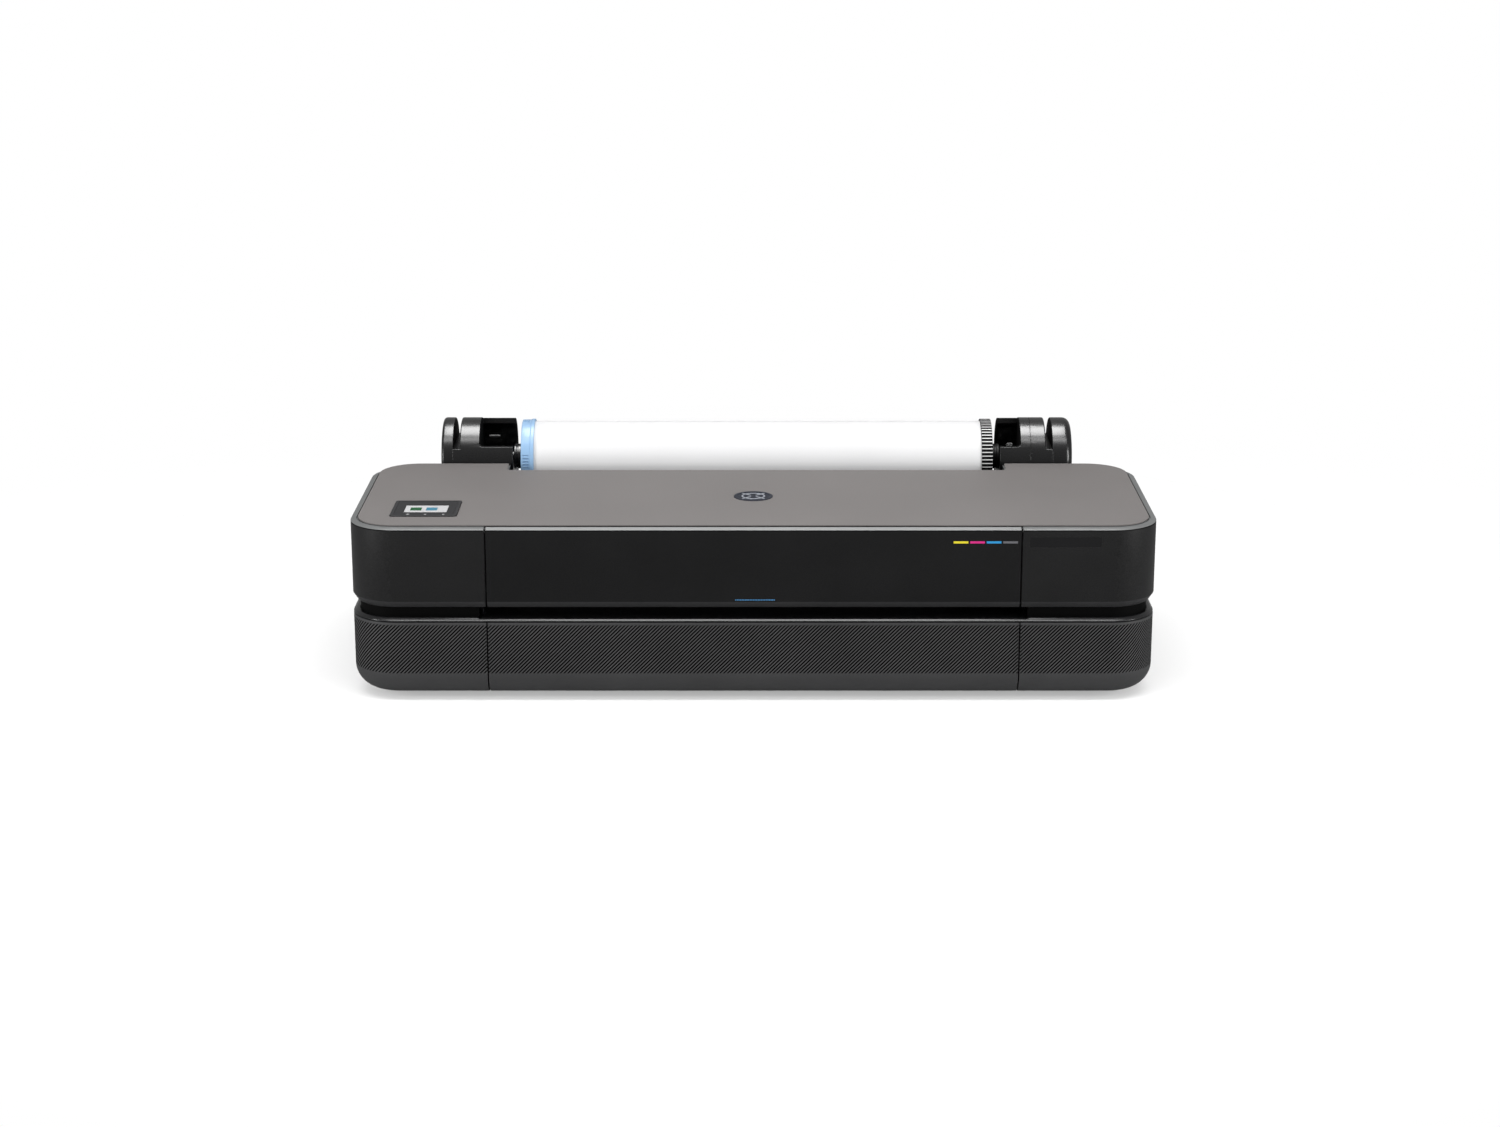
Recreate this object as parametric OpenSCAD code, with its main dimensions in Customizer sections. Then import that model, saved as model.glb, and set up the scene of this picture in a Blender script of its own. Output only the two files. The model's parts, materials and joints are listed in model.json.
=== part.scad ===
// Tabletop large format plotter with a roll feed at the back, built as separate pieces.
// Millimetres. The origin is the centre of the footprint on the table.
// +X is to the right as seen from the front, the front faces -Y, and +Z is up.

/* [Enclosure] */
// Overall width of the enclosure
body_w = 1013; // [1008:1:1018]
// Distance from the origin to the front face
body_front = 220; // [218:1:222]
// Distance from the origin to the back face of the lower housing
body_rear = 205; // [203:1:206]
// Plan radius of the enclosure's corners
corner_r = 60; // [56:1:64]
// Wall thickness of the moulded shells
wall = 3; // [2.5:0.5:3]
// Distance from the origin to the back edge of the upper housing's two wings
wing_rear = 114; // [111:1:114]
// Distance from the origin to the upper housing's back edge between the wings
mid_rear = 77; // [75:1:79]
// Half the width of the door and of the lower front panel
door_half_w = 333; // [331:1:334]

/* [Heights] */
// Height of the rubber feet
base_z = 6; // [5:1:7]
// Top of the rolled-under band along the bottom
band_z = 40; // [38:1:42]
// How far the bottom edge rolls under
band_w = 36; // [34:1:38]
// Top edge of the lower housing
lower_top_z = 104; // [103:1:104]
// Floor of the waist groove
trim_top_z = 110; // [109:1:110]
// Underside of the upper housing
upper_z = 123; // [122:1:124]
// Height where the rim chamfer starts
rim_z = 224; // [223:0.5:224.5]
// Underside of the top plate
deck_z = 226.5; // [226:0.5:227]
// Thickness of the top plate
plate_t = 1.5; // [1.5:0.5:2.5]
// Top of the rear deck under the roll
rear_deck_z = 180; // [178:1:180]

/* [Roll] */
// Height of the roll's axis
roll_z = 225; // [224:1:226]
// Distance of the roll's axis behind the origin
roll_y = 167; // [166:1:167]
// Width of the paper on the roll
paper_w = 610; // [609:1:611]
// Radius of the paper on the roll
paper_r = 48; // [35:1:49]
// Outer radius of the roll supports and their caps
support_r = 53; // [52:0.5:53]
// Radius of the two roll flanges
flange_r = 51; // [50:0.5:51]
// Radius of the spindle
spindle_r = 7; // [6:0.5:8]

/* [Print path] */
// Height of the paper as it crosses the platen
path_z = 112; // [111.5:0.5:112]
// Radius of the feed roller
feed_r = 12; // [11:0.5:12]
// Distance of the feed roller's axis in front of the origin
feed_back = 10; // [9:1:11]
// Radius of the exit rollers
exit_r = 6; // [5:0.5:6]
// Distance of the exit rollers' axis in front of the origin
exit_back = 125; // [124:1:126]
// Width of the carriage
carriage_w = 80; // [70:1:80]
// Rest position of the carriage's middle, over the service station
carriage_x = 405; // [403:1:405]

/* [Hidden] */

$fn = 64;
// Reach of a cutting shape past the face it cuts
over = 1;
// Thickness of a flat layer inside a hull
leaf = 0.5;
// Radial clearance of a shaft that turns in a hole
run_fit = 0.05;
// Gap round a part that slides or sits in a pocket
slip = 0.3;

half_w = body_w / 2;
front_y = -body_front;
plate_z = deck_z + plate_t;

// Rim chamfer of the upper housing, and the smaller chamfer along its bottom edge
rim_w = 7.5;
foot_chamfer_w = 5.5;
foot_chamfer_h = 8.5;
// Depth of the waist groove, and the half width of the exit slot
waist_inset = 9;
exit_half_w = 343;

// The roll sits a little right of the body's middle
roll_x = 6;
paper_x0 = roll_x - paper_w / 2;
paper_x1 = roll_x + paper_w / 2;
recess_x0 = -327;
recess_x1 = 336;
core_bore_r = 25.4;
core_r = 28.5;
// Flange rims, the lip that holds the roll's edge, and the necks towards the supports
flange_w = 15;
flange_lip = 2.4;
flange_neck = 12;
flange_neck_r = 17;

// Axis of the door's hinge, inside its top rear corner
hinge_y = front_y + 7;
hinge_z = rim_z - 2.5;
hinge_pin_r = 2;

// Left roll support, from the roll outwards
left_x = [-324.4, -370, -396.2, -405.2, -421];
// Right roll support, from the roll outwards
right_x = [333, 361.5, 395, 404, 431];
support_wall = 6;
// The opening over a tub: height of its front edge, and its back edge behind the roll's axis
cradle_front_z = roll_z + 23.5;
cradle_back = 20;
// Height of the web that closes the lower part of the slot beside each cap
slot_web_z = roll_z + 21;
support_front = 119;
support_back = 204;
bush_r = 11;
left_bush_x = [-347, -341];
right_bush_x = [339, 345];

// Spindle gear over the drive gear: centre distance is the sum of the pitch radii
roll_gear_m = 1;
spindle_teeth = 34;
drive_teeth = 22;
drive_gear_z = roll_z - roll_gear_m * (spindle_teeth + drive_teeth) / 2;
roll_gear_x = [346.5, 354];

// Feed gear and pinion at the left end of the feed roller
feed_gear_m = 1.25;
feed_teeth = 48;
pinion_teeth = 12;
feed_gear_x = [-462, -456];
feed_y = -feed_back;
feed_z = path_z - feed_r;
feed_centres = feed_gear_m * (feed_teeth + pinion_teeth) / 2;
pinion_angle = -30;
pinion_y = feed_y + feed_centres * cos(pinion_angle);
pinion_z = feed_z + feed_centres * sin(pinion_angle);

// Pinch rollers above the feed roller, on arms that turn about a shaft behind them
pinch_r = 5;
paper_gap = 0.4;
pinch_z = path_z + paper_gap + pinch_r;
pinch_axle_r = 2;
pinch_pivot = [25, 122];
pinch_pivot_r = 3;
pinch_count = 8;
pinch_pitch = 76;
pinch_w = 30;

exit_y = -exit_back;
exit_z = path_z - exit_r;

// Chassis frame
plate_x = 478;
sheet = 2;
rod_pos = [12, 150];
rod_r = 6;
rail_y = 28;
rail_z = [128, 208];
belt_y = 8;
belt_z = [170, 176];
belt_t = 1.4;
pulley_r = 8;
pulley_x = 458;
pulley_axle_r = 2;

// Ink cartridges, from left to right
cartridge_pitch = 20.5;
cartridge_x0 = 257.3;
cartridge_w = 18.6;
cartridge_y = [-207, -125];
cartridge_z = [140.3, 211.7];

// Cutter, which crosses the paper just inside the exit slot
cutter_y = -151;
cutter_x = -350;
cutter_wheel_r = 9;
cutter_wheel_z = path_z - 1.5 + cutter_wheel_r;

// Control panel at the left front of the top plate
panel_x = [-457, -373];
panel_y = [-169, -91.5];
screen_x = [-442, -386.6];
screen_y = [-152.4, -111.8];
button_pos = [-435, -160.3];
button_r = 3.4;

// Marks on the front face: the finger strip, the ink colour bars and the blank badge
strip_z = [133, 135];
mark_z = [207, 209.8];
badge_x = [343, 432];
badge_z = [202, 215];

emblem_r = 25;
emblem_y = -66;

stand_hole_r = 2.5;
stand_hole_x = 380;
stand_hole_y = 120;
foot_x = 420;
foot_y = [-150, 140];

// Block between two corners
module slab(x, y, z) {
    translate([x[0], y[0], z[0]])
        cube([x[1] - x[0], y[1] - y[0], z[1] - z[0]]);
}

// Cylinder along X between two stations, centred at y, z
module rod_x(x, y, z, r) {
    translate([x[0], y, z])
        rotate([0, 90, 0])
            cylinder(h = x[1] - x[0], r = r);
}

// Cylinder along Y between two stations, centred at x, z
module rod_y(y, x, z, r) {
    translate([x, y[0], z])
        rotate([-90, 0, 0])
            cylinder(h = y[1] - y[0], r = r);
}

// Cylinder along Z between two heights, centred at x, y
module rod_z(z, x, y, r) {
    translate([x, y, z[0]])
        cylinder(h = z[1] - z[0], r = r);
}

// A (y, z) outline carried along X
module profile_x(x, points) {
    translate([x[0], 0, 0])
        rotate([90, 0, 90])
            linear_extrude(x[1] - x[0])
                polygon(points);
}

// Flat rectangle with round corners
module round_rect(x, y, r) {
    translate([x[0] + r, y[0]])
        square([x[1] - x[0] - 2 * r, y[1] - y[0]]);
    translate([x[0], y[0] + r])
        square([x[1] - x[0], y[1] - y[0] - 2 * r]);
    for (cx = [x[0] + r, x[1] - r])
        for (cy = [y[0] + r, y[1] - r])
            translate([cx, cy])
                circle(r = r);
}

// Upright block with round vertical edges
module round_slab(x, y, z, r) {
    translate([0, 0, z[0]])
        linear_extrude(z[1] - z[0])
            round_rect(x, y, r);
}

// Plan of the enclosure, drawn in by inset, with its back edge at rear
module body_plan(inset, rear) {
    round_rect([-half_w + inset, half_w - inset], [front_y + inset, rear - inset], corner_r - inset);
}

module body_layer(z, inset, rear) {
    translate([0, 0, z])
        linear_extrude(leaf)
            body_plan(inset, rear, $fn = 32);
}

module body_prism(z, inset, rear) {
    translate([0, 0, z[0]])
        linear_extrude(z[1] - z[0])
            body_plan(inset, rear);
}

// Repeats its children as a mirror pair about the YZ plane
module both_sides() {
    children();
    mirror([1, 0, 0])
        children();
}

function involute_angle(pressure) = tan(pressure) * 180 / PI - pressure;

// Half the angle that a tooth fills at radius r
function tooth_half_angle(teeth, m, lash, r) =
    let (pitch_r = teeth * m / 2)
    let (base_r = pitch_r * cos(20))
    90 / teeth - lash / pitch_r * 90 / PI + involute_angle(20)
        - involute_angle(acos(min(1, base_r / r)));

// Outline of a spur gear with involute flanks; tooth 0 is centred on angle start
function gear_points(teeth, m, lash, start) =
    let (pitch_r = teeth * m / 2)
    let (root_r = pitch_r - 1.2 * m)
    let (base_r = max(root_r + 0.1 * m, pitch_r * cos(20)))
    let (tip_r = pitch_r + 0.85 * m)
    let (radii = [root_r, base_r, pitch_r, tip_r])
    [for (i = [0 : teeth - 1])
        for (side = [-1, 1])
            for (k = [0 : 3])
                let (r = radii[side < 0 ? k : 3 - k])
                let (a = start + i * 360 / teeth + side * tooth_half_angle(teeth, m, lash, max(r, base_r)))
                [r * cos(a), r * sin(a)]];

// Spur gear on the X axis; its outline's angle runs from +Y towards +Z
module gear_x(x, y, z, teeth, m, start) {
    translate([x[0], y, z])
        rotate([90, 0, 90])
            linear_extrude(x[1] - x[0])
                polygon(gear_points(teeth, m, 0.25 * m, start));
}

// Outer form of the lower housing, which rolls under along the bottom
module lower_form(inset, floor_z, top_z) {
    hull() {
        for (a = [0 : 18 : 90])
            body_layer(band_z - (band_z - floor_z) * sin(a), inset + band_w * (1 - cos(a)), body_rear);
        body_layer(top_z - leaf, inset, body_rear);
    }
}

module lower_shell() {
    difference() {
        lower_form(0, base_z, lower_top_z);
        lower_form(wall, base_z + wall, lower_top_z + over);
    }
}

// Space of the lower front panel, with a gap on each side
module front_panel_space(gap) {
    slab([-door_half_w - gap, door_half_w + gap], [front_y - over, front_y + band_w + 3 + gap],
        [base_z - over, lower_top_z + over]);
}

module lower_housing() {
    color("#2b2b2b")
    difference() {
        union() {
            difference() {
                lower_shell();
                front_panel_space(0.4);
            }
            for (x = [-stand_hole_x, stand_hole_x])
                for (y = [-stand_hole_y, stand_hole_y])
                    rod_z([base_z + wall / 2, 29], x, y, 7);
        }
        for (x = [-stand_hole_x, stand_hole_x])
            for (y = [-stand_hole_y, stand_hole_y])
                rod_z([base_z - over, 26], x, y, stand_hole_r);
    }
}

module lower_front_panel() {
    color("#303030")
    intersection() {
        lower_shell();
        front_panel_space(0);
    }
}

// Glossy rim on the lower housing, with the exit floor in the middle
module exit_trim() {
    rim_in = waist_inset - 0.5;
    lip_drop = 2;
    color("#101010")
    difference() {
        union() {
            difference() {
                body_prism([lower_top_z, trim_top_z], 0, wing_rear);
                body_prism([lower_top_z - over, trim_top_z + over], rim_in, wing_rear + 20);
                slab([-half_w - over, half_w + over], [wing_rear - 14, wing_rear + over],
                    [lower_top_z - over, trim_top_z + over]);
            }
            slab([-exit_half_w + 3, exit_half_w - 3], [front_y + rim_in - 0.5, -140],
                [lower_top_z + 1, trim_top_z - lip_drop]);
        }
        exit_lip_cut(lip_drop);
    }
}

// Wedge-ended cut that lowers the rim along the exit slot
module exit_lip_cut(drop) {
    translate([0, front_y + 20, 0])
        rotate([90, 0, 0])
            linear_extrude(20 + over)
                polygon([[-exit_half_w, trim_top_z - drop], [exit_half_w, trim_top_z - drop],
                    [exit_half_w + 4, trim_top_z + over], [-exit_half_w - 4, trim_top_z + over]]);
}

module roll_recess(z) {
    slab([recess_x0, recess_x1], [mid_rear, wing_rear + over], z);
}

module upper_form() {
    hull() {
        body_layer(upper_z, foot_chamfer_w, wing_rear);
        body_layer(upper_z + foot_chamfer_h, 0, wing_rear);
        body_layer(rim_z, 0, wing_rear);
        body_layer(deck_z - leaf, rim_w, wing_rear);
    }
}

// Hollow of the upper housing, which leaves a wall round the roll recess
module upper_hollow() {
    difference() {
        union() {
            body_prism([upper_z + foot_chamfer_h, rim_z - 2], wall, wing_rear);
            body_prism([upper_z - over, upper_z + foot_chamfer_h + over], waist_inset + wall, wing_rear);
            body_prism([rim_z - wall, deck_z - wall], rim_w, wing_rear);
        }
        slab([recess_x0 - wall, recess_x1 + wall], [mid_rear - wall, wing_rear + over],
            [upper_z - 2 * over, plate_z]);
    }
}

module upper_housing() {
    door_gap = 0.5;
    // End walls that close the wings beside the door and hold the hinge pins
    end_wall = [[front_y + wall, upper_z + foot_chamfer_h], [front_y + wall, rim_z - over],
        [front_y + rim_w + over, deck_z - wall + over], [front_y + 30, deck_z - wall + over],
        [front_y + 30, upper_z + 3], [front_y + wall + 4, upper_z + 3]];
    color("#1d1d1d")
    difference() {
        union() {
            difference() {
                upper_form();
                upper_hollow();
                slab([-door_half_w - door_gap, door_half_w + door_gap], [front_y - over, front_y + 15],
                    [upper_z - over, deck_z + over]);
            }
            difference() {
                body_prism([lower_top_z - 4, upper_z + 2], waist_inset, wing_rear);
                body_prism([lower_top_z - 5, upper_z + 3], waist_inset + wall, wing_rear);
                slab([-exit_half_w, exit_half_w], [front_y - over, front_y + 20],
                    [lower_top_z - 5, upper_z + 3]);
            }
            for (x = [[door_half_w + 0.7, door_half_w + 3.7], [-door_half_w - 3.7, -door_half_w - 0.7]])
                profile_x(x, end_wall);
        }
        roll_recess([lower_top_z - 5, plate_z]);
        slab([recess_x0 + 2, recess_x1 - 2], [mid_rear - 8, mid_rear + over],
            [lower_top_z - 5, upper_z + 10]);
        slab([panel_x[0] - 0.5, panel_x[1] + 0.5], [panel_y[0] - 0.5, panel_y[1] + 0.5],
            [deck_z - 2 * wall, deck_z + over]);
        rod_x([-half_w, half_w], hinge_y, hinge_z, hinge_pin_r + run_fit);
        badge_space(0.1);
    }
}

module top_plate() {
    // The front edge stands back so that the door's rim clears it when the door is open
    edge = rim_w + 2.9;
    side_edge = rim_w + 2;
    color("#86807d")
    difference() {
        round_slab([-half_w + side_edge, half_w - side_edge], [front_y + edge, wing_rear - 2],
            [deck_z, plate_z], corner_r - side_edge);
        slab([recess_x0 - 2, recess_x1 + 2], [mid_rear - 2, wing_rear + over],
            [deck_z - over, plate_z + over]);
        slab([panel_x[0] - 0.5, panel_x[1] + 0.5], [panel_y[0] - 0.5, panel_y[1] + 0.5],
            [deck_z - over, plate_z + over]);
        rod_z([plate_z - 1, plate_z + over], 0, emblem_y, emblem_r + 0.2);
    }
}

module emblem_disc() {
    color("#2c2f3a")
    difference() {
        rod_z([plate_z - 1, plate_z + 0.6], 0, emblem_y, emblem_r);
        difference() {
            rod_z([plate_z + 0.2, plate_z + over], 0, emblem_y, emblem_r - 2);
            rod_z([plate_z, plate_z + over], 0, emblem_y, emblem_r - 8);
        }
    }
}

// Blank badge plate on the right wing
module badge_space(gap) {
    slab([badge_x[0] - gap, badge_x[1] + gap], [front_y - over, front_y + 1],
        [badge_z[0] - gap, badge_z[1] + gap]);
}

module name_badge() {
    color("#161616")
    slab(badge_x, [front_y, front_y + 1], badge_z);
}

// Frame of the control panel, sunk in the top plate
module control_bezel() {
    glass_edge = 4;
    color("#2e2e30")
    difference() {
        round_slab(panel_x, panel_y, [deck_z - 2 * wall + 0.5, plate_z + 1], 4);
        round_slab([panel_x[0] + glass_edge, panel_x[1] - glass_edge],
            [panel_y[0] + glass_edge, panel_y[1] - glass_edge], [plate_z - 0.4, plate_z + 2], 3);
        slab([screen_x[0] - 1, screen_x[1] + 1], [screen_y[0] - 1, screen_y[1] + 1], [deck_z - 3, plate_z]);
        rod_z([deck_z - 3, plate_z + 2], button_pos[0], button_pos[1], button_r + slip);
    }
}

module screen_glass() {
    edge = 4.2;
    color("#0c0c0e")
    difference() {
        round_slab([panel_x[0] + edge, panel_x[1] - edge], [panel_y[0] + edge, panel_y[1] - edge],
            [plate_z - 0.4, plate_z + 0.8], 3);
        rod_z([plate_z - over, plate_z + 2], button_pos[0], button_pos[1], button_r + slip);
    }
}

module screen_module() {
    color("#e8ebe8")
    slab(screen_x, screen_y, [deck_z - 3, plate_z - 0.6]);
}

module power_button() {
    color("#1a1a1c")
    union() {
        rod_z([deck_z - 1, plate_z + 1.2], button_pos[0], button_pos[1], button_r);
        rod_z([deck_z - 1.2, deck_z - 0.5], button_pos[0], button_pos[1], 2);
    }
}

// Solid of the rear cover: a block behind the upper housing with a trough under the roll
module rear_form(inset, trough_r, top_z) {
    difference() {
        intersection() {
            body_prism([lower_top_z, top_z], 3 + inset, body_rear + 3);
            union() {
                slab([-half_w, half_w], [wing_rear + 1.5 + inset, body_rear + over], [lower_top_z, top_z]);
                slab([recess_x0 + 3 + inset, recess_x1 - 3 - inset], [mid_rear + 14 + inset, wing_rear + 9],
                    [lower_top_z, top_z]);
            }
        }
        rod_x([left_x[0] - inset, right_x[0] + inset], roll_y, roll_z, trough_r);
    }
}

module rear_cover() {
    trough_r = flange_r + 7;
    color("#202020")
    difference() {
        rear_form(0, trough_r, rear_deck_z);
        translate([0, 0, -over])
            rear_form(wall, trough_r + wall, rear_deck_z - wall + over);
        rear_connector_space(slip);
    }
}

// Half-round pillar that a roll support and its cap are cut from, standing on the rear deck
module support_form(x, r) {
    difference() {
        rod_x(x, roll_y, roll_z, r);
        below_deck(x);
    }
    slab(x, [support_front, support_back], [rear_deck_z, roll_z]);
}

module below_deck(x) {
    slab([x[0] - over, x[1] + over], [roll_y - 2 * support_r, roll_y + 2 * support_r], [0, rear_deck_z]);
}

// Open tub in a support, where the end of the spindle lies
module cradle_space(x) {
    inner_r = support_r - support_wall;
    rod_x(x, roll_y, roll_z, inner_r - 1);
    slab(x, [roll_y - 34, roll_y + 34], [rear_deck_z + 4, roll_z]);
    slab(x, [roll_y - 80, roll_y + cradle_back], [cradle_front_z, roll_z + 60]);
}

// Wall across the tub with a notch that the spindle's bush drops into
module bush_wall(x) {
    difference() {
        slab(x, [roll_y - 37, roll_y + 37], [rear_deck_z + 2, roll_z + 6]);
        rod_x([x[0] - over, x[1] + over], roll_y, roll_z, bush_r + slip);
        slab([x[0] - over, x[1] + over], [roll_y - bush_r - slip, roll_y + bush_r + slip],
            [roll_z, roll_z + 20]);
    }
}

// Web that joins a support to its cap across the lower part of the narrow slot
module slot_web(x) {
    intersection() {
        support_form(x, support_r - 1);
        slab(x, [0, body_rear + over], [rear_deck_z, slot_web_z]);
    }
}

module left_roll_support() {
    color("#0e0e0e")
    union() {
        difference() {
            support_form([left_x[2], left_x[0]], support_r);
            cradle_space([left_x[1], left_x[0] + over]);
        }
        bush_wall([-346, -342]);
        spindle_latch([-362, -347]);
        slot_web([left_x[3], left_x[2]]);
    }
}

// Latch bar at the back of the left tub, on a bracket from the tub's wall
module spindle_latch(x) {
    latch_y = roll_y + 24;
    latch_z = roll_z + 22;
    rod_x(x, latch_y, latch_z, 3.2);
    slab(x, [latch_y, latch_y + 22], [latch_z - 1.5, latch_z + 1.5]);
}

module right_roll_support() {
    color("#0e0e0e")
    difference() {
        union() {
            difference() {
                support_form([right_x[0], right_x[2]], support_r);
                cradle_space([right_x[0] - over, right_x[1]]);
            }
            bush_wall([340, 344]);
            slot_web([right_x[2], right_x[3]]);
        }
        rod_x([right_x[1] - over, right_x[2] - 2], roll_y, drive_gear_z, 13 + slip);
    }
}

// Domed outer covers of the two roll supports
module support_caps() {
    color("#0b0b0b") {
        support_cap(left_x[3], left_x[4], 4);
        support_cap(right_x[3], right_x[4], 10);
    }
}

// Cap with a chamfer round its outer end
module support_cap(x_in, x_out, dome) {
    way = sign(x_out - x_in);
    x_mid = x_out - way * dome;
    x_dome = [min(x_mid, x_out), max(x_mid, x_out)];
    union() {
        support_form([min(x_in, x_mid), max(x_in, x_mid)], support_r);
        difference() {
            translate([x_mid, roll_y, roll_z])
                rotate([0, way * 90, 0])
                    cylinder(h = dome, r1 = support_r, r2 = support_r - dome);
            below_deck(x_dome);
        }
        slab(x_dome, [support_front + dome, support_back - dome], [rear_deck_z, roll_z]);
    }
}

module rubber_feet() {
    color("#141414")
    for (x = [-foot_x, foot_x])
        for (y = foot_y)
            rod_z([0, base_z], x, y, 16);
}

module rear_connector_space(gap) {
    slab([-440 - gap, -412 + gap], [body_rear - wall - over, body_rear + over], [122 - gap, 142 + gap]);
    slab([300 - gap, 360 + gap], [body_rear - wall - over, body_rear + over], [122 - gap, 138 + gap]);
}

// Mains inlet and the plate with the network and data sockets
module rear_connectors() {
    color("#262626") {
        difference() {
            slab([-440, -412], [body_rear - 22, body_rear + 0.5], [122, 142]);
            slab([-437, -415], [body_rear - 14, body_rear + over], [125, 139]);
        }
        for (x = [-432, -426, -420])
            slab([x - 1, x + 1], [body_rear - 16, body_rear - 3], [130, 134]);
        difference() {
            slab([300, 360], [body_rear - 18, body_rear + 0.5], [122, 138]);
            slab([303, 319], [body_rear - 14, body_rear + over], [124, 136]);
            slab([325, 337], [body_rear - 12, body_rear + over], [125, 135]);
            slab([343, 356], [body_rear - 12, body_rear + over], [127, 132]);
        }
    }
}

// Pan-head screws along the back of the rear cover
module housing_screws() {
    color("#303030")
    for (x = [-430, -300, -100, 100, 270, 430])
        difference() {
            rod_y([body_rear, body_rear + 1.8], x, 112, 3.6);
            for (a = [0, 90])
                translate([x, body_rear + 1.8, 112])
                    rotate([0, a, 0])
                        cube([4, 1.6, 0.9], center = true);
        }
}

// Steel tray that the side plates stand on
module chassis_base() {
    color("#9a9da0")
    difference() {
        round_slab([-plate_x, plate_x], [front_y + 34, 150], [14, 14 + sheet], 30);
        for (x = [-stand_hole_x, stand_hole_x])
            for (y = [-stand_hole_y, stand_hole_y])
                rod_z([12, 20], x, y, 8);
        for (x = [-300 : 100 : 300])
            round_slab([x - 30, x + 30], [-60, 60], [12, 20], 8);
    }
}

// Left and right frame plates, with the idler pulley's bracket on the right one
module side_plates() {
    outline = [[front_y + 40, 16], [100, 16], [100, 88], [72, 96], [72, 205], [60, 215],
        [-60, 215], [-110, 200], [-170, 130], [front_y + 40, 90]];
    color("#a3a6a8") {
        for (x = [[-plate_x - sheet, -plate_x], [plate_x, plate_x + sheet]])
            difference() {
                profile_x(x, outline);
                rod_x([x[0] - over, x[1] + over], feed_y, feed_z, 4 + run_fit);
                rod_x([x[0] - over, x[1] + over], exit_y, exit_z, 3 + run_fit);
                rod_x([x[0] - over, x[1] + over], 55, 55, 14);
            }
        for (z = [160, 182])
            slab([pulley_x - 6, plate_x], [belt_y - 5, belt_y + 5], [z, z + 3]);
        rod_z([160, 185], pulley_x, belt_y, pulley_axle_r);
        slab([plate_x - sheet, plate_x], [belt_y - 5, belt_y + 5], [160, 185]);
    }
}

// Folded steel beam that carries the carriage's upper guide and the pinch arms' shaft
module carriage_rail() {
    flange = 14;
    color("#b0b3b5")
    union() {
        slab([-plate_x, plate_x], [rail_y, rail_y + sheet], rail_z);
        slab([-pulley_x + 20, plate_x], [rail_y - flange, rail_y + sheet], [rail_z[1] - sheet, rail_z[1]]);
        slab([-plate_x, plate_x], [rail_y, rail_y + flange], [rail_z[0], rail_z[0] + sheet]);
        for (x = [-322, -1.5, 319])
            slab([x, x + 3], [pinch_pivot[0] - 4, rail_y + sheet], [pinch_pivot[1] - 4, rail_z[0] + sheet]);
        rod_x([-322, 322], pinch_pivot[0], pinch_pivot[1], pinch_pivot_r);
    }
}

module slider_rod() {
    color("#d0d3d5")
    rod_x([-plate_x, plate_x], rod_pos[0], rod_pos[1], rod_r);
}

// Ribbed bed under the print zone
module platen() {
    platen_half_w = 345;
    deck_t = 4;
    rib_h = 2;
    top_z = path_z - 0.5;
    color("#1b1b1b")
    union() {
        slab([-platen_half_w, platen_half_w], [-106, feed_y - feed_r - 2],
            [top_z - rib_h - deck_t, top_z - rib_h]);
        for (x = [-330 : 22 : 330])
            slab([x - 1, x + 1], [-104, feed_y - feed_r - 4], [top_z - rib_h - 1, top_z]);
        for (y = [-106, feed_y - feed_r - 5])
            slab([-platen_half_w, platen_half_w], [y, y + 3], [60, top_z - rib_h]);
    }
}

// Steel shaft with a rubber sleeve across the paper
module feed_roller() {
    color("#3a3a3a")
    union() {
        rod_x([-plate_x - sheet - 4, plate_x + sheet + 4], feed_y, feed_z, 4);
        rod_x([-335, 345], feed_y, feed_z, feed_r);
    }
}

// Gear on the feed roller's shaft, with the encoder disc beside it
module feed_gear() {
    color("#dedbd0")
    difference() {
        union() {
            gear_x(feed_gear_x, feed_y, feed_z, feed_teeth, feed_gear_m, pinion_angle);
            rod_x([feed_gear_x[0], -448], feed_y, feed_z, 9);
            rod_x([-449.5, -448.5], feed_y, feed_z, 18);
        }
        rod_x([feed_gear_x[0] - over, -447], feed_y, feed_z, 4.02);
    }
}

module feed_pinion() {
    color("#c9a24b")
    union() {
        gear_x([feed_gear_x[0] - 0.5, feed_gear_x[1] + 0.5], pinion_y, pinion_z, pinion_teeth,
            feed_gear_m, pinion_angle + 180 + 180 / pinion_teeth);
        rod_x([feed_gear_x[1], -440], pinion_y, pinion_z, 2);
    }
}

module feed_motor() {
    color("#6d7073")
    difference() {
        union() {
            rod_x([-452, -408], pinion_y, pinion_z, 18);
            rod_x([-408, -404], pinion_y, pinion_z, 8);
            slab([-453.5, -452], [pinion_y - 22, pinion_y + 22], [pinion_z - 20, pinion_z + 15]);
        }
        rod_x([-454, -436], pinion_y, pinion_z, 2 + run_fit);
    }
}

// Arms that press the pinch rollers down, joined by one tube on the pivot shaft
module pinch_arms() {
    cheek = 3;
    color("#5b5e61")
    difference() {
        union() {
            for (x = [[-316, -5], [5, 316]])
                rod_x(x, pinch_pivot[0], pinch_pivot[1], pinch_pivot_r + 2.5);
            for (i = [0 : pinch_count - 1])
                for (side = [-1, 1])
                    pinch_cheek(pinch_centre(i) + side * (pinch_w / 2 + 3) - cheek / 2, cheek);
        }
        rod_x([-330, 330], pinch_pivot[0], pinch_pivot[1], pinch_pivot_r + run_fit);
        rod_x([-330, 330], feed_y, pinch_z, pinch_axle_r + run_fit);
    }
}

function pinch_centre(i) = (i - (pinch_count - 1) / 2) * pinch_pitch;

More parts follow.
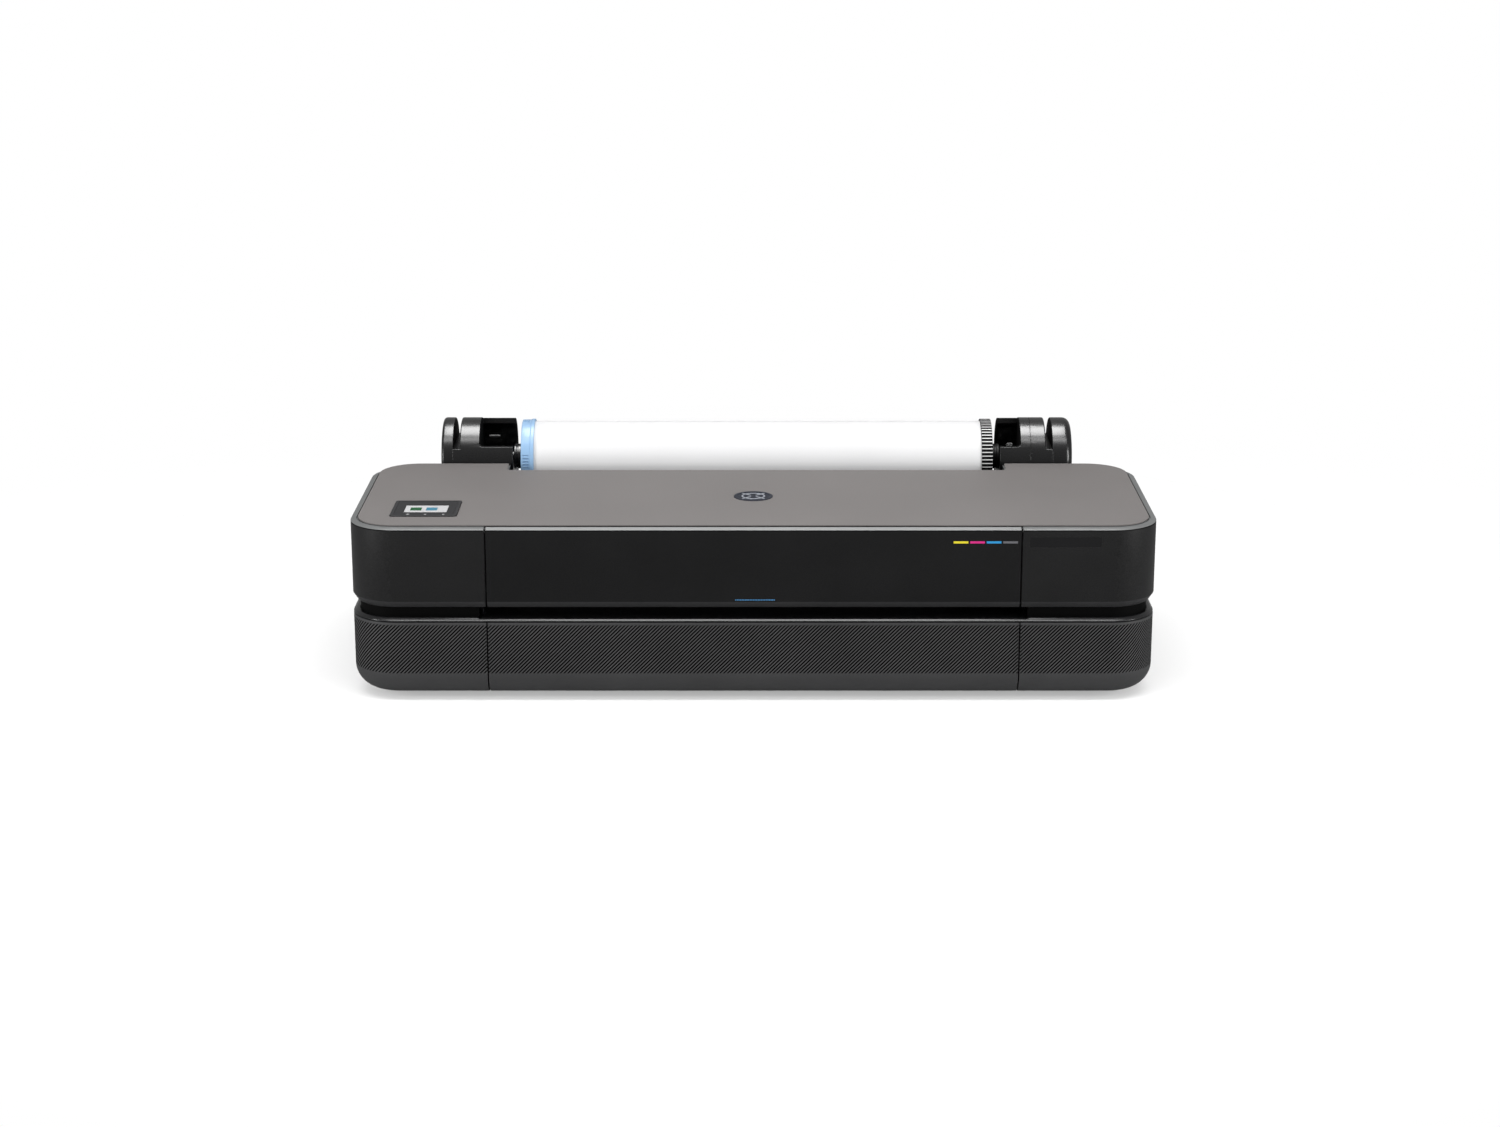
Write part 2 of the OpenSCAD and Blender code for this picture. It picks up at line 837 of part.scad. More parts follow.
module pinch_cheek(x, t) {
    rod_x([x, x + t], feed_y, pinch_z, 3.8);
    profile_x([x, x + t], [[feed_y, pinch_z - 3], [pinch_pivot[0], pinch_pivot[1] - 4],
        [pinch_pivot[0], pinch_pivot[1] + 4], [feed_y, pinch_z + 3.5]]);
}

module pinch_rollers() {
    color("#1f1f1f")
    for (i = [0 : pinch_count - 1])
        union() {
            rod_x([pinch_centre(i) - pinch_w / 2, pinch_centre(i) + pinch_w / 2], feed_y, pinch_z, pinch_r);
            rod_x([pinch_centre(i) - pinch_w / 2 - 5, pinch_centre(i) + pinch_w / 2 + 5], feed_y, pinch_z,
                pinch_axle_r);
        }
}

module exit_rollers() {
    color("#8d9093")
    union() {
        rod_x([-plate_x - sheet - 3, plate_x + sheet + 3], exit_y, exit_z, 3);
        for (x = [-285 : 95 : 285])
            rod_x([x - 12, x + 12], exit_y, exit_z, exit_r);
    }
}

// Carriage shell: a tub for the printhead, with the rod bearing, belt clamp and upper guide behind
module carriage() {
    x = [carriage_x - carriage_w / 2, carriage_x + carriage_w / 2];
    back = -18;
    belt_slot = 0.4;
    belt_in = belt_y - pulley_r - 0.2;
    color("#2a2a2a")
    difference() {
        union() {
            slab(x, [-98, back], [118, 192]);
            slab([x[0] + 8, x[1] - 8], [back - over, rod_pos[0] + 10], [rod_pos[1] - 11, rod_pos[1] + 11]);
            slab([carriage_x - 15, carriage_x + 15], [back - over, belt_y - 4],
                [belt_z[0] - 6, belt_z[1] + 6]);
            slab([carriage_x - 20, carriage_x + 20], [back - 6, rail_y - 5], [198, 213]);
            slab([carriage_x - 20, carriage_x + 20], [back - 6, back], [190, 200]);
        }
        slab([x[0] + 3, x[1] - 3], [-95, back - 4], [126, 194]);
        slab([carriage_x - 26, carriage_x + 26], [-87, -35], [116, 128]);
        rod_x([x[0], x[1]], rod_pos[0], rod_pos[1], rod_r + run_fit);
        slab(x, [belt_in - belt_t - belt_slot, belt_in + belt_slot],
            [belt_z[0] - belt_slot, belt_z[1] + belt_slot]);
        slab([x[0], x[1]], [rail_y - 14.4, rail_y], [rail_z[1] - sheet - belt_slot, rail_z[1] + belt_slot]);
    }
}

// Printhead block with its nozzle plate just above the paper
module printhead() {
    color("#3b3b40")
    union() {
        slab([carriage_x - 25, carriage_x + 25], [-86, -36], [116, 160]);
        slab([carriage_x - 14, carriage_x + 14], [-80, -42], [path_z + 1.5, 117]);
        for (i = [-1.5 : 1 : 1.5])
            rod_z([159, 166], carriage_x + i * 11, -61, 3);
    }
}

// Toothed belt as a closed loop round the two pulleys
module carriage_belt() {
    inner_r = pulley_r + 0.2;
    color("#151515")
    difference() {
        belt_loop(inner_r + belt_t, belt_z);
        belt_loop(inner_r, [belt_z[0] - over, belt_z[1] + over]);
    }
}

module belt_loop(r, z) {
    for (x = [-pulley_x, pulley_x])
        rod_z(z, x, belt_y, r);
    slab([-pulley_x, pulley_x], [belt_y - r, belt_y + r], z);
}

module pulley_body(x) {
    rod_z([belt_z[0] - 0.4, belt_z[1] + 0.4], x, belt_y, pulley_r);
    rod_z([belt_z[0] - 2, belt_z[0] - 0.4], x, belt_y, pulley_r + 2.2);
    rod_z([belt_z[1] + 0.4, belt_z[1] + 2], x, belt_y, pulley_r + 2.2);
}

module drive_pulley() {
    color("#c9a24b")
    union() {
        pulley_body(-pulley_x);
        rod_z([belt_z[0] - 4, belt_z[1] + 12], -pulley_x, belt_y, pulley_axle_r);
    }
}

module idler_pulley() {
    color("#c9a24b")
    difference() {
        pulley_body(pulley_x);
        rod_z([belt_z[0] - 4, belt_z[1] + 4], pulley_x, belt_y, pulley_axle_r + run_fit);
    }
}

module carriage_motor() {
    motor_r = 16;
    color("#6d7073")
    difference() {
        union() {
            rod_z([182, 214], -pulley_x, belt_y, motor_r);
            rod_z([214, 218], -pulley_x, belt_y, 6);
            slab([-plate_x, -pulley_x], [belt_y - 12, belt_y + 12], [182, 184]);
        }
        rod_z([180, 192], -pulley_x, belt_y, pulley_axle_r + run_fit);
    }
}

function cartridge_centre(i) = cartridge_x0 + i * cartridge_pitch;

// Open-fronted bay with one slot for each cartridge
module cartridge_bay() {
    rim = 3;
    slot_w = cartridge_w + 2 * slip;
    color("#252525")
    difference() {
        slab([cartridge_centre(0) - slot_w / 2 - rim, cartridge_centre(3) + slot_w / 2 + rim],
            [cartridge_y[0] + 3, cartridge_y[1] + 9], [cartridge_z[0] - 4.3, cartridge_z[1] + 4.3]);
        for (i = [0 : 3])
            slab([cartridge_centre(i) - slot_w / 2, cartridge_centre(i) + slot_w / 2],
                [cartridge_y[0], cartridge_y[1] + 5], [cartridge_z[0] - slip, cartridge_z[1] + slip]);
        for (i = [0 : 3])
            rod_y([cartridge_y[1], cartridge_y[1] + 12], cartridge_centre(i), 160, 3.5);
    }
}

// Ink cartridge: a slim box with a pull ridge in front and an outlet at the back
module cartridge(i) {
    x = cartridge_centre(i);
    difference() {
        union() {
            slab([x - cartridge_w / 2, x + cartridge_w / 2], cartridge_y, cartridge_z);
            rod_y([cartridge_y[1] - over, cartridge_y[1] + 4], x, 160, 3);
        }
        slab([x - cartridge_w / 2 + 2, x + cartridge_w / 2 - 2], [cartridge_y[0] - over, cartridge_y[0] + 3],
            [166, 186]);
    }
}

module yellow_cartridge() {
    color("#e6cf1c")
    cartridge(0);
}

module magenta_cartridge() {
    color("#d1218c")
    cartridge(1);
}

module cyan_cartridge() {
    color("#1d9fd8")
    cartridge(2);
}

module black_cartridge() {
    color("#4a4a4c")
    cartridge(3);
}

// Four fixed ink lines from the bay to the tube guide in the middle of the machine
module ink_tubes() {
    tube_r = 1.6;
    guide_z = 218.5;
    run_y = -116;
    for (i = [0 : 3])
        color(["#e6cf1c", "#d1218c", "#1d9fd8", "#4a4a4c"][i])
        union() {
            x = cartridge_centre(i);
            y = run_y + (i + 0.5) * 4.4;
            rod_y([cartridge_y[1] + 5.5, y], x, 160, tube_r);
            rod_z([160, guide_z], x, y, tube_r);
            rod_x([20, x], y, guide_z, tube_r);
            translate([x, y, 160])
                sphere(r = tube_r);
            translate([x, y, guide_z])
                sphere(r = tube_r);
        }
}

// Box below the carriage's rest place, with a well for the cap sled
module service_station() {
    x = [carriage_x - 44, carriage_x + 44];
    color("#26282a")
    difference() {
        slab(x, [-105, feed_y - 5], [18, 104]);
        slab([x[0] + 3, x[1] - 3], [-102, feed_y - 8], [88, 105]);
        slab([x[0] + 3, x[1] - 3], [-102, feed_y - 8], [21, 85]);
    }
}

// Sled that lifts the rubber caps to the printhead
module cap_sled() {
    x = [carriage_x - 36, carriage_x + 36];
    color("#54585c")
    union() {
        slab(x, [-95, -25], [92, 102]);
        difference() {
            slab([carriage_x - 18, carriage_x + 18], [-84, -38], [101, 107.5]);
            slab([carriage_x - 15, carriage_x + 15], [-81, -41], [104, 109]);
        }
        slab([x[0] + 4, x[0] + 7], [-80, -40], [101, 107.5]);
    }
}

// C-section rail along the exit slot
module cutter_rail() {
    x = [-400, 400];
    cut_x = [x[0] - over, x[1] + over];
    color("#a8abad")
    difference() {
        slab(x, [cutter_y - 11, cutter_y + 11], [129, 135]);
        slab(cut_x, [cutter_y - 7, cutter_y + 7], [130.5, 133.5]);
        slab(cut_x, [cutter_y - 3, cutter_y + 3], [128, 131]);
    }
}

module cutter_carriage() {
    color("#35373a")
    difference() {
        union() {
            slab([cutter_x - 14, cutter_x + 14], [cutter_y - 9, cutter_y + 9], [119, 128.7]);
            slab([cutter_x - 14, cutter_x + 14], [cutter_y - 2.6, cutter_y + 2.6], [128, 132]);
            slab([cutter_x - 14, cutter_x + 14], [cutter_y - 6.6, cutter_y + 6.6], [130.9, 133.1]);
        }
        slab([cutter_x - 11, cutter_x + 11], [cutter_y - 2, cutter_y + 2], [118, 130]);
        rod_y([cutter_y - 7, cutter_y + 7], cutter_x, cutter_wheel_z, 1.5 + run_fit);
    }
}

module cutter_wheel() {
    color("#cfd2d4")
    union() {
        rod_y([cutter_y - 0.5, cutter_y + 0.5], cutter_x, cutter_wheel_z, cutter_wheel_r);
        rod_y([cutter_y - 6, cutter_y + 6], cutter_x, cutter_wheel_z, 1.5);
    }
}

// Formatter board in the rear right of the base
module main_board() {
    color("#1f5a3a")
    union() {
        slab([200, 420], [100, 180], [30, 31.6]);
        slab([230, 262], [120, 152], [31.6, 34]);
        slab([280, 300], [120, 150], [31.6, 34]);
        slab([320, 400], [165, 178], [31.6, 42]);
        slab([210, 222], [104, 176], [31.6, 40]);
        for (x = [330 : 20 : 390])
            rod_z([31.6, 44], x, 130, 5);
        for (x = [206, 414])
            for (y = [106, 174])
                rod_z([18, 30.5], x, y, 3);
    }
}

// Mains power supply in its vented steel case
module power_supply() {
    color("#b4b6b8")
    difference() {
        slab([-368, -240], [95, 175], [18, 68]);
        slab([-366, -242], [97, 173], [20, 66]);
        for (x = [-356 : 12 : -256])
            slab([x, x + 5], [110, 160], [65, 70]);
    }
}

// Door skin with its hinge barrels and pins, which turn in the wings
module front_door() {
    inner_y = front_y + wall;
    lip_y = front_y + rim_w - 0.2;
    rim_slope = (deck_z - rim_z) / rim_w;
    lip_z = rim_z + (lip_y - front_y) * rim_slope;
    skin = [[front_y + foot_chamfer_w, upper_z], [front_y, upper_z + foot_chamfer_h], [front_y, rim_z],
        [lip_y, lip_z], [lip_y, lip_z - 2.5], [inner_y, rim_z - 0.8],
        [inner_y, upper_z + foot_chamfer_h + 1], [front_y + 8, upper_z + 3], [front_y + 8, upper_z]];
    rib = [[inner_y - 1, upper_z + foot_chamfer_h - 1], [front_y + 9, upper_z + foot_chamfer_h + 1],
        [front_y + 9, rim_z - 8], [inner_y - 1, rim_z - 4]];
    color("#1b1b1b")
    difference() {
        union() {
            profile_x([-door_half_w, door_half_w], skin);
            for (x = [-door_half_w, -220, -110, 0, 110, 220, door_half_w - 3])
                profile_x([x, x + 3], rib);
            both_sides() {
                rod_x([door_half_w - 14, door_half_w], hinge_y, hinge_z, 4);
                rod_x([door_half_w - 14, door_half_w + 9], hinge_y, hinge_z, hinge_pin_r);
            }
        }
        touch_strip_space(0.1);
        for (i = [0 : 3])
            ink_mark_space(i, 0.1);
    }
}

// Finger mark at the door's bottom edge
module touch_strip_space(gap) {
    slab([-23 - gap, 27 + gap], [front_y - over, front_y + 1], [strip_z[0] - gap, strip_z[1] + gap]);
}

module door_touch_strip() {
    color("#2f78a8")
    slab([-23, 27], [front_y, front_y + 1], strip_z);
}

// Colour bar on the door in front of cartridge i
module ink_mark_space(i, gap) {
    x = cartridge_centre(i);
    slab([x - 9.2 - gap, x + 9.2 + gap], [front_y - over, front_y + 1], [mark_z[0] - gap, mark_z[1] + gap]);
}

module ink_colour_marks() {
    colours = ["#e6cf1c", "#d1218c", "#1d9fd8", "#6f7073"];
    for (i = [0 : 3])
        color(colours[i])
        slab([cartridge_centre(i) - 9.2, cartridge_centre(i) + 9.2], [front_y, front_y + 1], mark_z);
}

// Bushes at the spindle's two ends, which drop into the supports' notches
module spindle_bushes() {
    color("#39393c")
    for (x = [left_bush_x, right_bush_x])
        difference() {
            rod_x(x, roll_y, roll_z, bush_r);
            rod_x([x[0] - over, x[1] + over], roll_y, roll_z, spindle_r + run_fit);
        }
}

// Spindle with its end disc on the left and its gear on the right
module spindle_shaft() {
    color("#161616")
    union() {
        rod_x([-366, 357], roll_y, roll_z, spindle_r);
        rod_x([-359, -355], roll_y, roll_z, 12);
        gear_x(roll_gear_x, roll_y, roll_z, spindle_teeth, roll_gear_m, -90);
    }
}

// Removable left flange, with a hub that centres the core
module left_flange() {
    rim_x = paper_x0 - flange_w;
    color("#8cbeea")
    difference() {
        union() {
            difference() {
                union() {
                    rod_x([rim_x, paper_x0], roll_y, roll_z, flange_r - 1);
                    rod_x([paper_x0 - flange_lip, paper_x0 + flange_lip], roll_y, roll_z, flange_r);
                }
                paper_seat([paper_x0 - 0.2, paper_x0 + flange_lip + over]);
            }
            rod_x([rim_x - flange_neck, rim_x + over], roll_y, roll_z, flange_neck_r);
            rod_x([paper_x0 - 1, paper_x0 + 26], roll_y, roll_z, core_bore_r - 0.2);
        }
        rod_x([rim_x - flange_neck - over, paper_x0 + 30], roll_y, roll_z, spindle_r + run_fit);
        for (a = [0 : 60 : 300])
            translate([rim_x - over, roll_y, roll_z])
                rotate([a, 0, 0])
                    translate([0, -7, 22])
                        cube([10, 14, 22]);
    }
}

// Room for the roll's end inside a flange's lip
module paper_seat(x) {
    rod_x(x, roll_y, roll_z, paper_r + 0.4);
}

// Fixed right flange with a ribbed rim
module right_flange() {
    rim_x = paper_x1 + flange_w - flange_lip;
    color("#151515")
    difference() {
        union() {
            difference() {
                translate([paper_x1 - flange_lip, roll_y, roll_z])
                    rotate([90, 0, 90])
                        linear_extrude(flange_w)
                            ribbed_circle(flange_r, 64, 1.6);
                paper_seat([paper_x1 - flange_lip - over, paper_x1 + 0.2]);
            }
            rod_x([rim_x - over, rim_x + flange_neck], roll_y, roll_z, flange_neck_r);
            rod_x([paper_x1 - 26, paper_x1 + 1], roll_y, roll_z, core_bore_r - 0.2);
        }
        rod_x([paper_x1 - 30, rim_x + flange_neck + over], roll_y, roll_z, spindle_r + 0.02);
    }
}

// Circle with straight ribs round it
module ribbed_circle(r, ribs, depth) {
    polygon([for (i = [0 : ribs - 1])
        for (k = [0 : 3])
            let (edge_r = k % 3 == 0 ? r - depth : r)
            let (a = (i + 0.12 + k * 0.2) * 360 / ribs)
            [edge_r * cos(a), edge_r * sin(a)]]);
}

module roll_core() {
    color("#b08d5b")
    difference() {
        rod_x([paper_x0, paper_x1], roll_y, roll_z, core_r);
        rod_x([paper_x0 - over, paper_x1 + over], roll_y, roll_z, core_bore_r);
    }
}

module paper_roll() {
    color("#f6f6f6")
    difference() {
        rod_x([paper_x0, paper_x1], roll_y, roll_z, paper_r);
        rod_x([paper_x0 - over, paper_x1 + over], roll_y, roll_z, core_r + 0.1);
    }
}

module roll_drive_gear() {
    color("#dedbd0")
    union() {
        gear_x([roll_gear_x[0] - 0.5, roll_gear_x[1] + 0.5], roll_y, drive_gear_z, drive_teeth, roll_gear_m,
            90 + 180 / drive_teeth);
        rod_x([roll_gear_x[1], 372], roll_y, drive_gear_z, 2);
    }
}

module roll_motor() {
    color("#6d7073")
    difference() {
        rod_x([right_x[1] + 0.5, right_x[2] - 2.5], roll_y, drive_gear_z, 13);
        rod_x([right_x[1], 374], roll_y, drive_gear_z, 2 + run_fit);
    }
}

lower_housing();
lower_front_panel();
exit_trim();
upper_housing();
top_plate();
emblem_disc();
name_badge();
control_bezel();
screen_glass();
screen_module();
rear_cover();
left_roll_support();
right_roll_support();
support_caps();
rubber_feet();
rear_connectors();
housing_screws();
chassis_base();
side_plates();
carriage_rail();
slider_rod();
platen();
feed_motor();
carriage_motor();
carriage_belt();
cartridge_bay();
ink_tubes();
service_station();
cutter_rail();
main_board();
power_supply();
roll_motor();
front_door();
door_touch_strip();
ink_colour_marks();
power_button();
carriage();
printhead();
drive_pulley();
idler_pulley();
feed_roller();
feed_gear();
feed_pinion();
pinch_arms();
pinch_rollers();
exit_rollers();
cap_sled();
cutter_carriage();
cutter_wheel();
yellow_cartridge();
magenta_cartridge();
cyan_cartridge();
black_cartridge();
spindle_bushes();
spindle_shaft();
left_flange();
right_flange();
roll_core();
paper_roll();
roll_drive_gear();
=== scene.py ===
"""Looks of the tabletop large format plotter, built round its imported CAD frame. All lengths are in metres."""
import json
import math

import bpy
import numpy as np
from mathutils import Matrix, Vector


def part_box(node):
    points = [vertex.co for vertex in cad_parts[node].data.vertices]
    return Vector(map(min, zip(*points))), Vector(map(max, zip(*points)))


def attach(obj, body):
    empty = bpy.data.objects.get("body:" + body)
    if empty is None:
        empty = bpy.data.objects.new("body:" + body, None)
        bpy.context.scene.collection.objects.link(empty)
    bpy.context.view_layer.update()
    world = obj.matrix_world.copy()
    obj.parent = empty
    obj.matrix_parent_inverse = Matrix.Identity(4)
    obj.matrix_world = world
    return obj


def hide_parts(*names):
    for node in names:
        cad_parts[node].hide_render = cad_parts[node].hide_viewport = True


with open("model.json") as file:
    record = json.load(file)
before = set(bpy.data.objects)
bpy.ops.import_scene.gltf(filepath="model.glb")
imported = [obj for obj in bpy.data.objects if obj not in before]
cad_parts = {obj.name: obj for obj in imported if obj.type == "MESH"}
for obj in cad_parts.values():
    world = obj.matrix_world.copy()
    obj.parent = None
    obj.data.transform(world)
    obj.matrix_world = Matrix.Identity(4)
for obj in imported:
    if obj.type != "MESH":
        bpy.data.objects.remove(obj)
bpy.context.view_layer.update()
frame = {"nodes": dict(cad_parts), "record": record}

MM = 0.001
OVER = 2 * MM  # how far a cutter reaches past what it cuts

# ---------------------------------------------------------------- sizes taken from the frame
UPPER_LO, UPPER_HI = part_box("upper_housing")
LOWER_LO, LOWER_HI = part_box("lower_housing")
TRIM_LO, TRIM_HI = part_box("exit_trim")
PLATE_LO, PLATE_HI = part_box("top_plate")
DOOR_LO, DOOR_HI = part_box("front_door")
ROLL_LO, ROLL_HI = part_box("paper_roll")
FLANGE_L_LO, FLANGE_L_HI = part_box("left_flange")
SUP_L_LO, SUP_L_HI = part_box("left_roll_support")
CAPS_LO, CAPS_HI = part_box("support_caps")
BEZEL_LO, BEZEL_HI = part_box("control_bezel")
LCD_LO, LCD_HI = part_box("screen_module")
BADGE_LO, BADGE_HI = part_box("name_badge")
EMBLEM_LO, EMBLEM_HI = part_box("emblem_disc")
PANEL_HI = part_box("lower_front_panel")[1]
BUSH_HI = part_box("spindle_bushes")[1]
FLANGE_R_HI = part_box("right_flange")[1]
SUP_R_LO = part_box("right_roll_support")[0]

FRONT = LOWER_LO.y
HALF_W = LOWER_HI.x
CORNER_R = 60 * MM
WALL = 3 * MM
SEAM_X = PANEL_HI.x
SLOT_HALF = 343 * MM
WING_REAR = UPPER_HI.y
UPPER_Z = DOOR_LO.z
DECK_Z = PLATE_LO.z
AXIS_Y = (ROLL_LO.y + ROLL_HI.y) / 2
AXIS_Z = (ROLL_LO.z + ROLL_HI.z) / 2

# The upper housing and the door share these: rim round the plate, chamfer at the foot, hinge pins (y, z)
RIM_W = 7.5 * MM
RIM_Z = 224 * MM
FOOT_W = 5.5 * MM
FOOT_H = 8.5 * MM
HINGE = (FRONT + 7 * MM, RIM_Z - 2.5 * MM)


# ---------------------------------------------------------------- outlines and lofts
def outline_length(x0, x1, y0, y1, r):
    return 2 * (x1 - x0 + y1 - y0) - 8 * r + 2 * math.pi * r


def outline_at(x0, x1, y0, y1, r, s):
    """Points and outward normals at arc lengths s along a rectangle with round corners.
    s runs counter-clockwise, seen from above, from the left end of the front side."""
    w, d, arc = x1 - x0 - 2 * r, y1 - y0 - 2 * r, math.pi / 2 * r
    s = np.mod(s, outline_length(x0, x1, y0, y1, r))
    out = np.zeros((len(s), 4))
    start = 0.0
    corners = [(x1 - r, y0 + r), (x1 - r, y1 - r), (x0 + r, y1 - r), (x0 + r, y0 + r)]
    starts = [(x0 + r, y0), (x1, y0 + r), (x1 - r, y1), (x0, y1 - r)]
    for k, side in enumerate((w, d, w, d)):
        angle = k * math.pi / 2
        along, normal = (math.cos(angle), math.sin(angle)), (math.sin(angle), -math.cos(angle))
        on = (s >= start) & (s < start + side)
        t = s[on] - start
        out[on] = np.column_stack([starts[k][0] + along[0] * t, starts[k][1] + along[1] * t,
                                   np.full(on.sum(), normal[0]), np.full(on.sum(), normal[1])])
        start += side
        on = (s >= start) & (s < start + arc)
        turn = (s[on] - start) / r + angle - math.pi / 2
        nx, ny = np.cos(turn), np.sin(turn)
        out[on] = np.column_stack([corners[k][0] + r * nx, corners[k][1] + r * ny, nx, ny])
        start += arc
    return out


def outline_columns(x0, x1, y0, y1, r, corner_steps=24, side_steps=4):
    """Arc lengths that divide each corner and each side evenly."""
    stations, start = [], 0.0
    for k in range(4):
        side = (x1 - x0 if k % 2 == 0 else y1 - y0) - 2 * r
        stations += [start + side * i / side_steps for i in range(side_steps)]
        start += side
        stations += [start + math.pi / 2 * r * i / corner_steps for i in range(corner_steps)]
        start += math.pi / 2 * r
    return np.array(stations)


def ring(columns, inset, z):
    inset = np.broadcast_to(inset, len(columns))
    return np.column_stack([columns[:, 0] - columns[:, 2] * inset,
                            columns[:, 1] - columns[:, 3] * inset, np.full(len(columns), z)])


def rounded(points, radii, steps=6):
    """Closed outline through the points, with an arc of the given radius at each."""
    radii = [radii] * len(points) if np.isscalar(radii) else radii
    out = []
    for i, r in enumerate(radii):
        p, a, b = (np.array(points[j % len(points)], float) for j in (i, i - 1, i + 1))
        if r <= 0:
            out.append(p)
            continue
        u, v = (a - p) / np.linalg.norm(a - p), (b - p) / np.linalg.norm(b - p)
        half = math.acos(max(-1.0, min(1.0, float(u @ v)))) / 2
        centre = p + (u + v) / np.linalg.norm(u + v) * r / math.sin(half)
        a0 = math.atan2(*(p + u * r / math.tan(half) - centre)[::-1])
        a1 = math.atan2(*(p + v * r / math.tan(half) - centre)[::-1])
        turn = (a1 - a0 + math.pi) % (2 * math.pi) - math.pi
        out += [centre + r * np.array([math.cos(a0 + turn * k / steps), math.sin(a0 + turn * k / steps)])
                for k in range(steps + 1)]
    return np.array(out)


def make_object(name, verts, faces):
    mesh = bpy.data.meshes.new(name)
    mesh.from_pydata([tuple(v) for v in verts], [], faces)
    mesh.validate()
    mesh.update()
    obj = bpy.data.objects.new(name, mesh)
    bpy.context.scene.collection.objects.link(obj)
    return obj


def loft(name, rings, closed=False):
    """Solid through rings of equal point count; closed joins the last ring to the first."""
    n, count = len(rings[0]), len(rings)
    faces = []
    for k in range(count if closed else count - 1):
        a, b = k * n, (k + 1) % count * n
        faces += [(a + i, a + (i + 1) % n, b + (i + 1) % n, b + i) for i in range(n)]
    if not closed:
        faces += [tuple(range(n))[::-1], tuple(range((count - 1) * n, count * n))]
    obj = make_object(name, np.vstack(rings), faces)
    outward(obj)
    return obj


def outward(obj):
    """Turns the faces of a closed mesh so that its volume is positive."""
    mesh = obj.data
    mesh.calc_loop_triangles()
    v = np.array([x.co for x in mesh.vertices])
    t = np.array([x.vertices for x in mesh.loop_triangles])
    if np.einsum("ij,ij->", v[t[:, 0]], np.cross(v[t[:, 1]], v[t[:, 2]])) < 0:
        mesh.flip_normals()


def prism_z(name, outline, z0, z1):
    return loft(name, [np.column_stack([outline, np.full(len(outline), z)]) for z in (z0, z1)])


def prism_x(name, outline, x0, x1):
    return loft(name, [np.column_stack([np.full(len(outline), x), outline]) for x in (x0, x1)])


def prism_y(name, outline, y0, y1):
    return loft(name, [np.column_stack([outline[:, 0], np.full(len(outline), y), outline[:, 1]])
                       for y in (y0, y1)])


def block(name, x, y, z, r=0.0):
    corners = [(x[0], y[0]), (x[1], y[0]), (x[1], y[1]), (x[0], y[1])]
    return prism_z(name, rounded(corners, r), z[0], z[1])


def lathe(name, profile, steps=96, axis=None, ribs=None):
    """Ring turned about an axis along X, the roll's unless given, from a closed list of (x, radius).
    ribs, one per step, are taken off the radii of the profile points marked with a third entry."""
    cy, cz = axis or (AXIS_Y, AXIS_Z)
    turn = np.arange(steps) * 2 * math.pi / steps
    rings = []
    for x, r, *ribbed in profile:
        r = r - ribs if ribbed else np.full(steps, r)
        rings.append(np.column_stack([np.full(steps, x), cy + r * np.cos(turn), cz + r * np.sin(turn)]))
    return loft(name, rings, closed=True)


def disc(centre, radius, steps=96):
    turn = np.arange(steps) * 2 * math.pi / steps
    return np.column_stack([centre[0] + radius * np.cos(turn), centre[1] + radius * np.sin(turn)])


def rod(name, x, radius, axis=None, steps=48):
    """Solid round bar along X, about the roll's axis unless another is given."""
    return prism_x(name, disc(axis or (AXIS_Y, AXIS_Z), radius, steps), *x)


def boolean(target, tool, operation="DIFFERENCE"):
    """Applies one boolean to target and removes the tool."""
    mod = target.modifiers.new("cut", "BOOLEAN")
    mod.operation, mod.solver, mod.object = operation, "MANIFOLD", tool
    graph = bpy.context.evaluated_depsgraph_get()
    mesh = bpy.data.meshes.new_from_object(target.evaluated_get(graph))
    target.modifiers.clear()
    old, target.data = target.data, mesh
    bpy.data.meshes.remove(old)
    mesh.name = target.name
    bpy.data.objects.remove(tool)


def paint(obj, slots, rule):
    """Gives a piece several materials; rule(centre, normal) picks one for each face."""
    obj.data.materials.clear()
    for name in slots:
        obj.data.materials.append(material(name))
    for face in obj.data.polygons:
        face.material_index = rule(face.center, face.normal)


def copy_of(obj, name):
    twin = bpy.data.objects.new(name, obj.data.copy())
    bpy.context.scene.collection.objects.link(twin)
    return twin


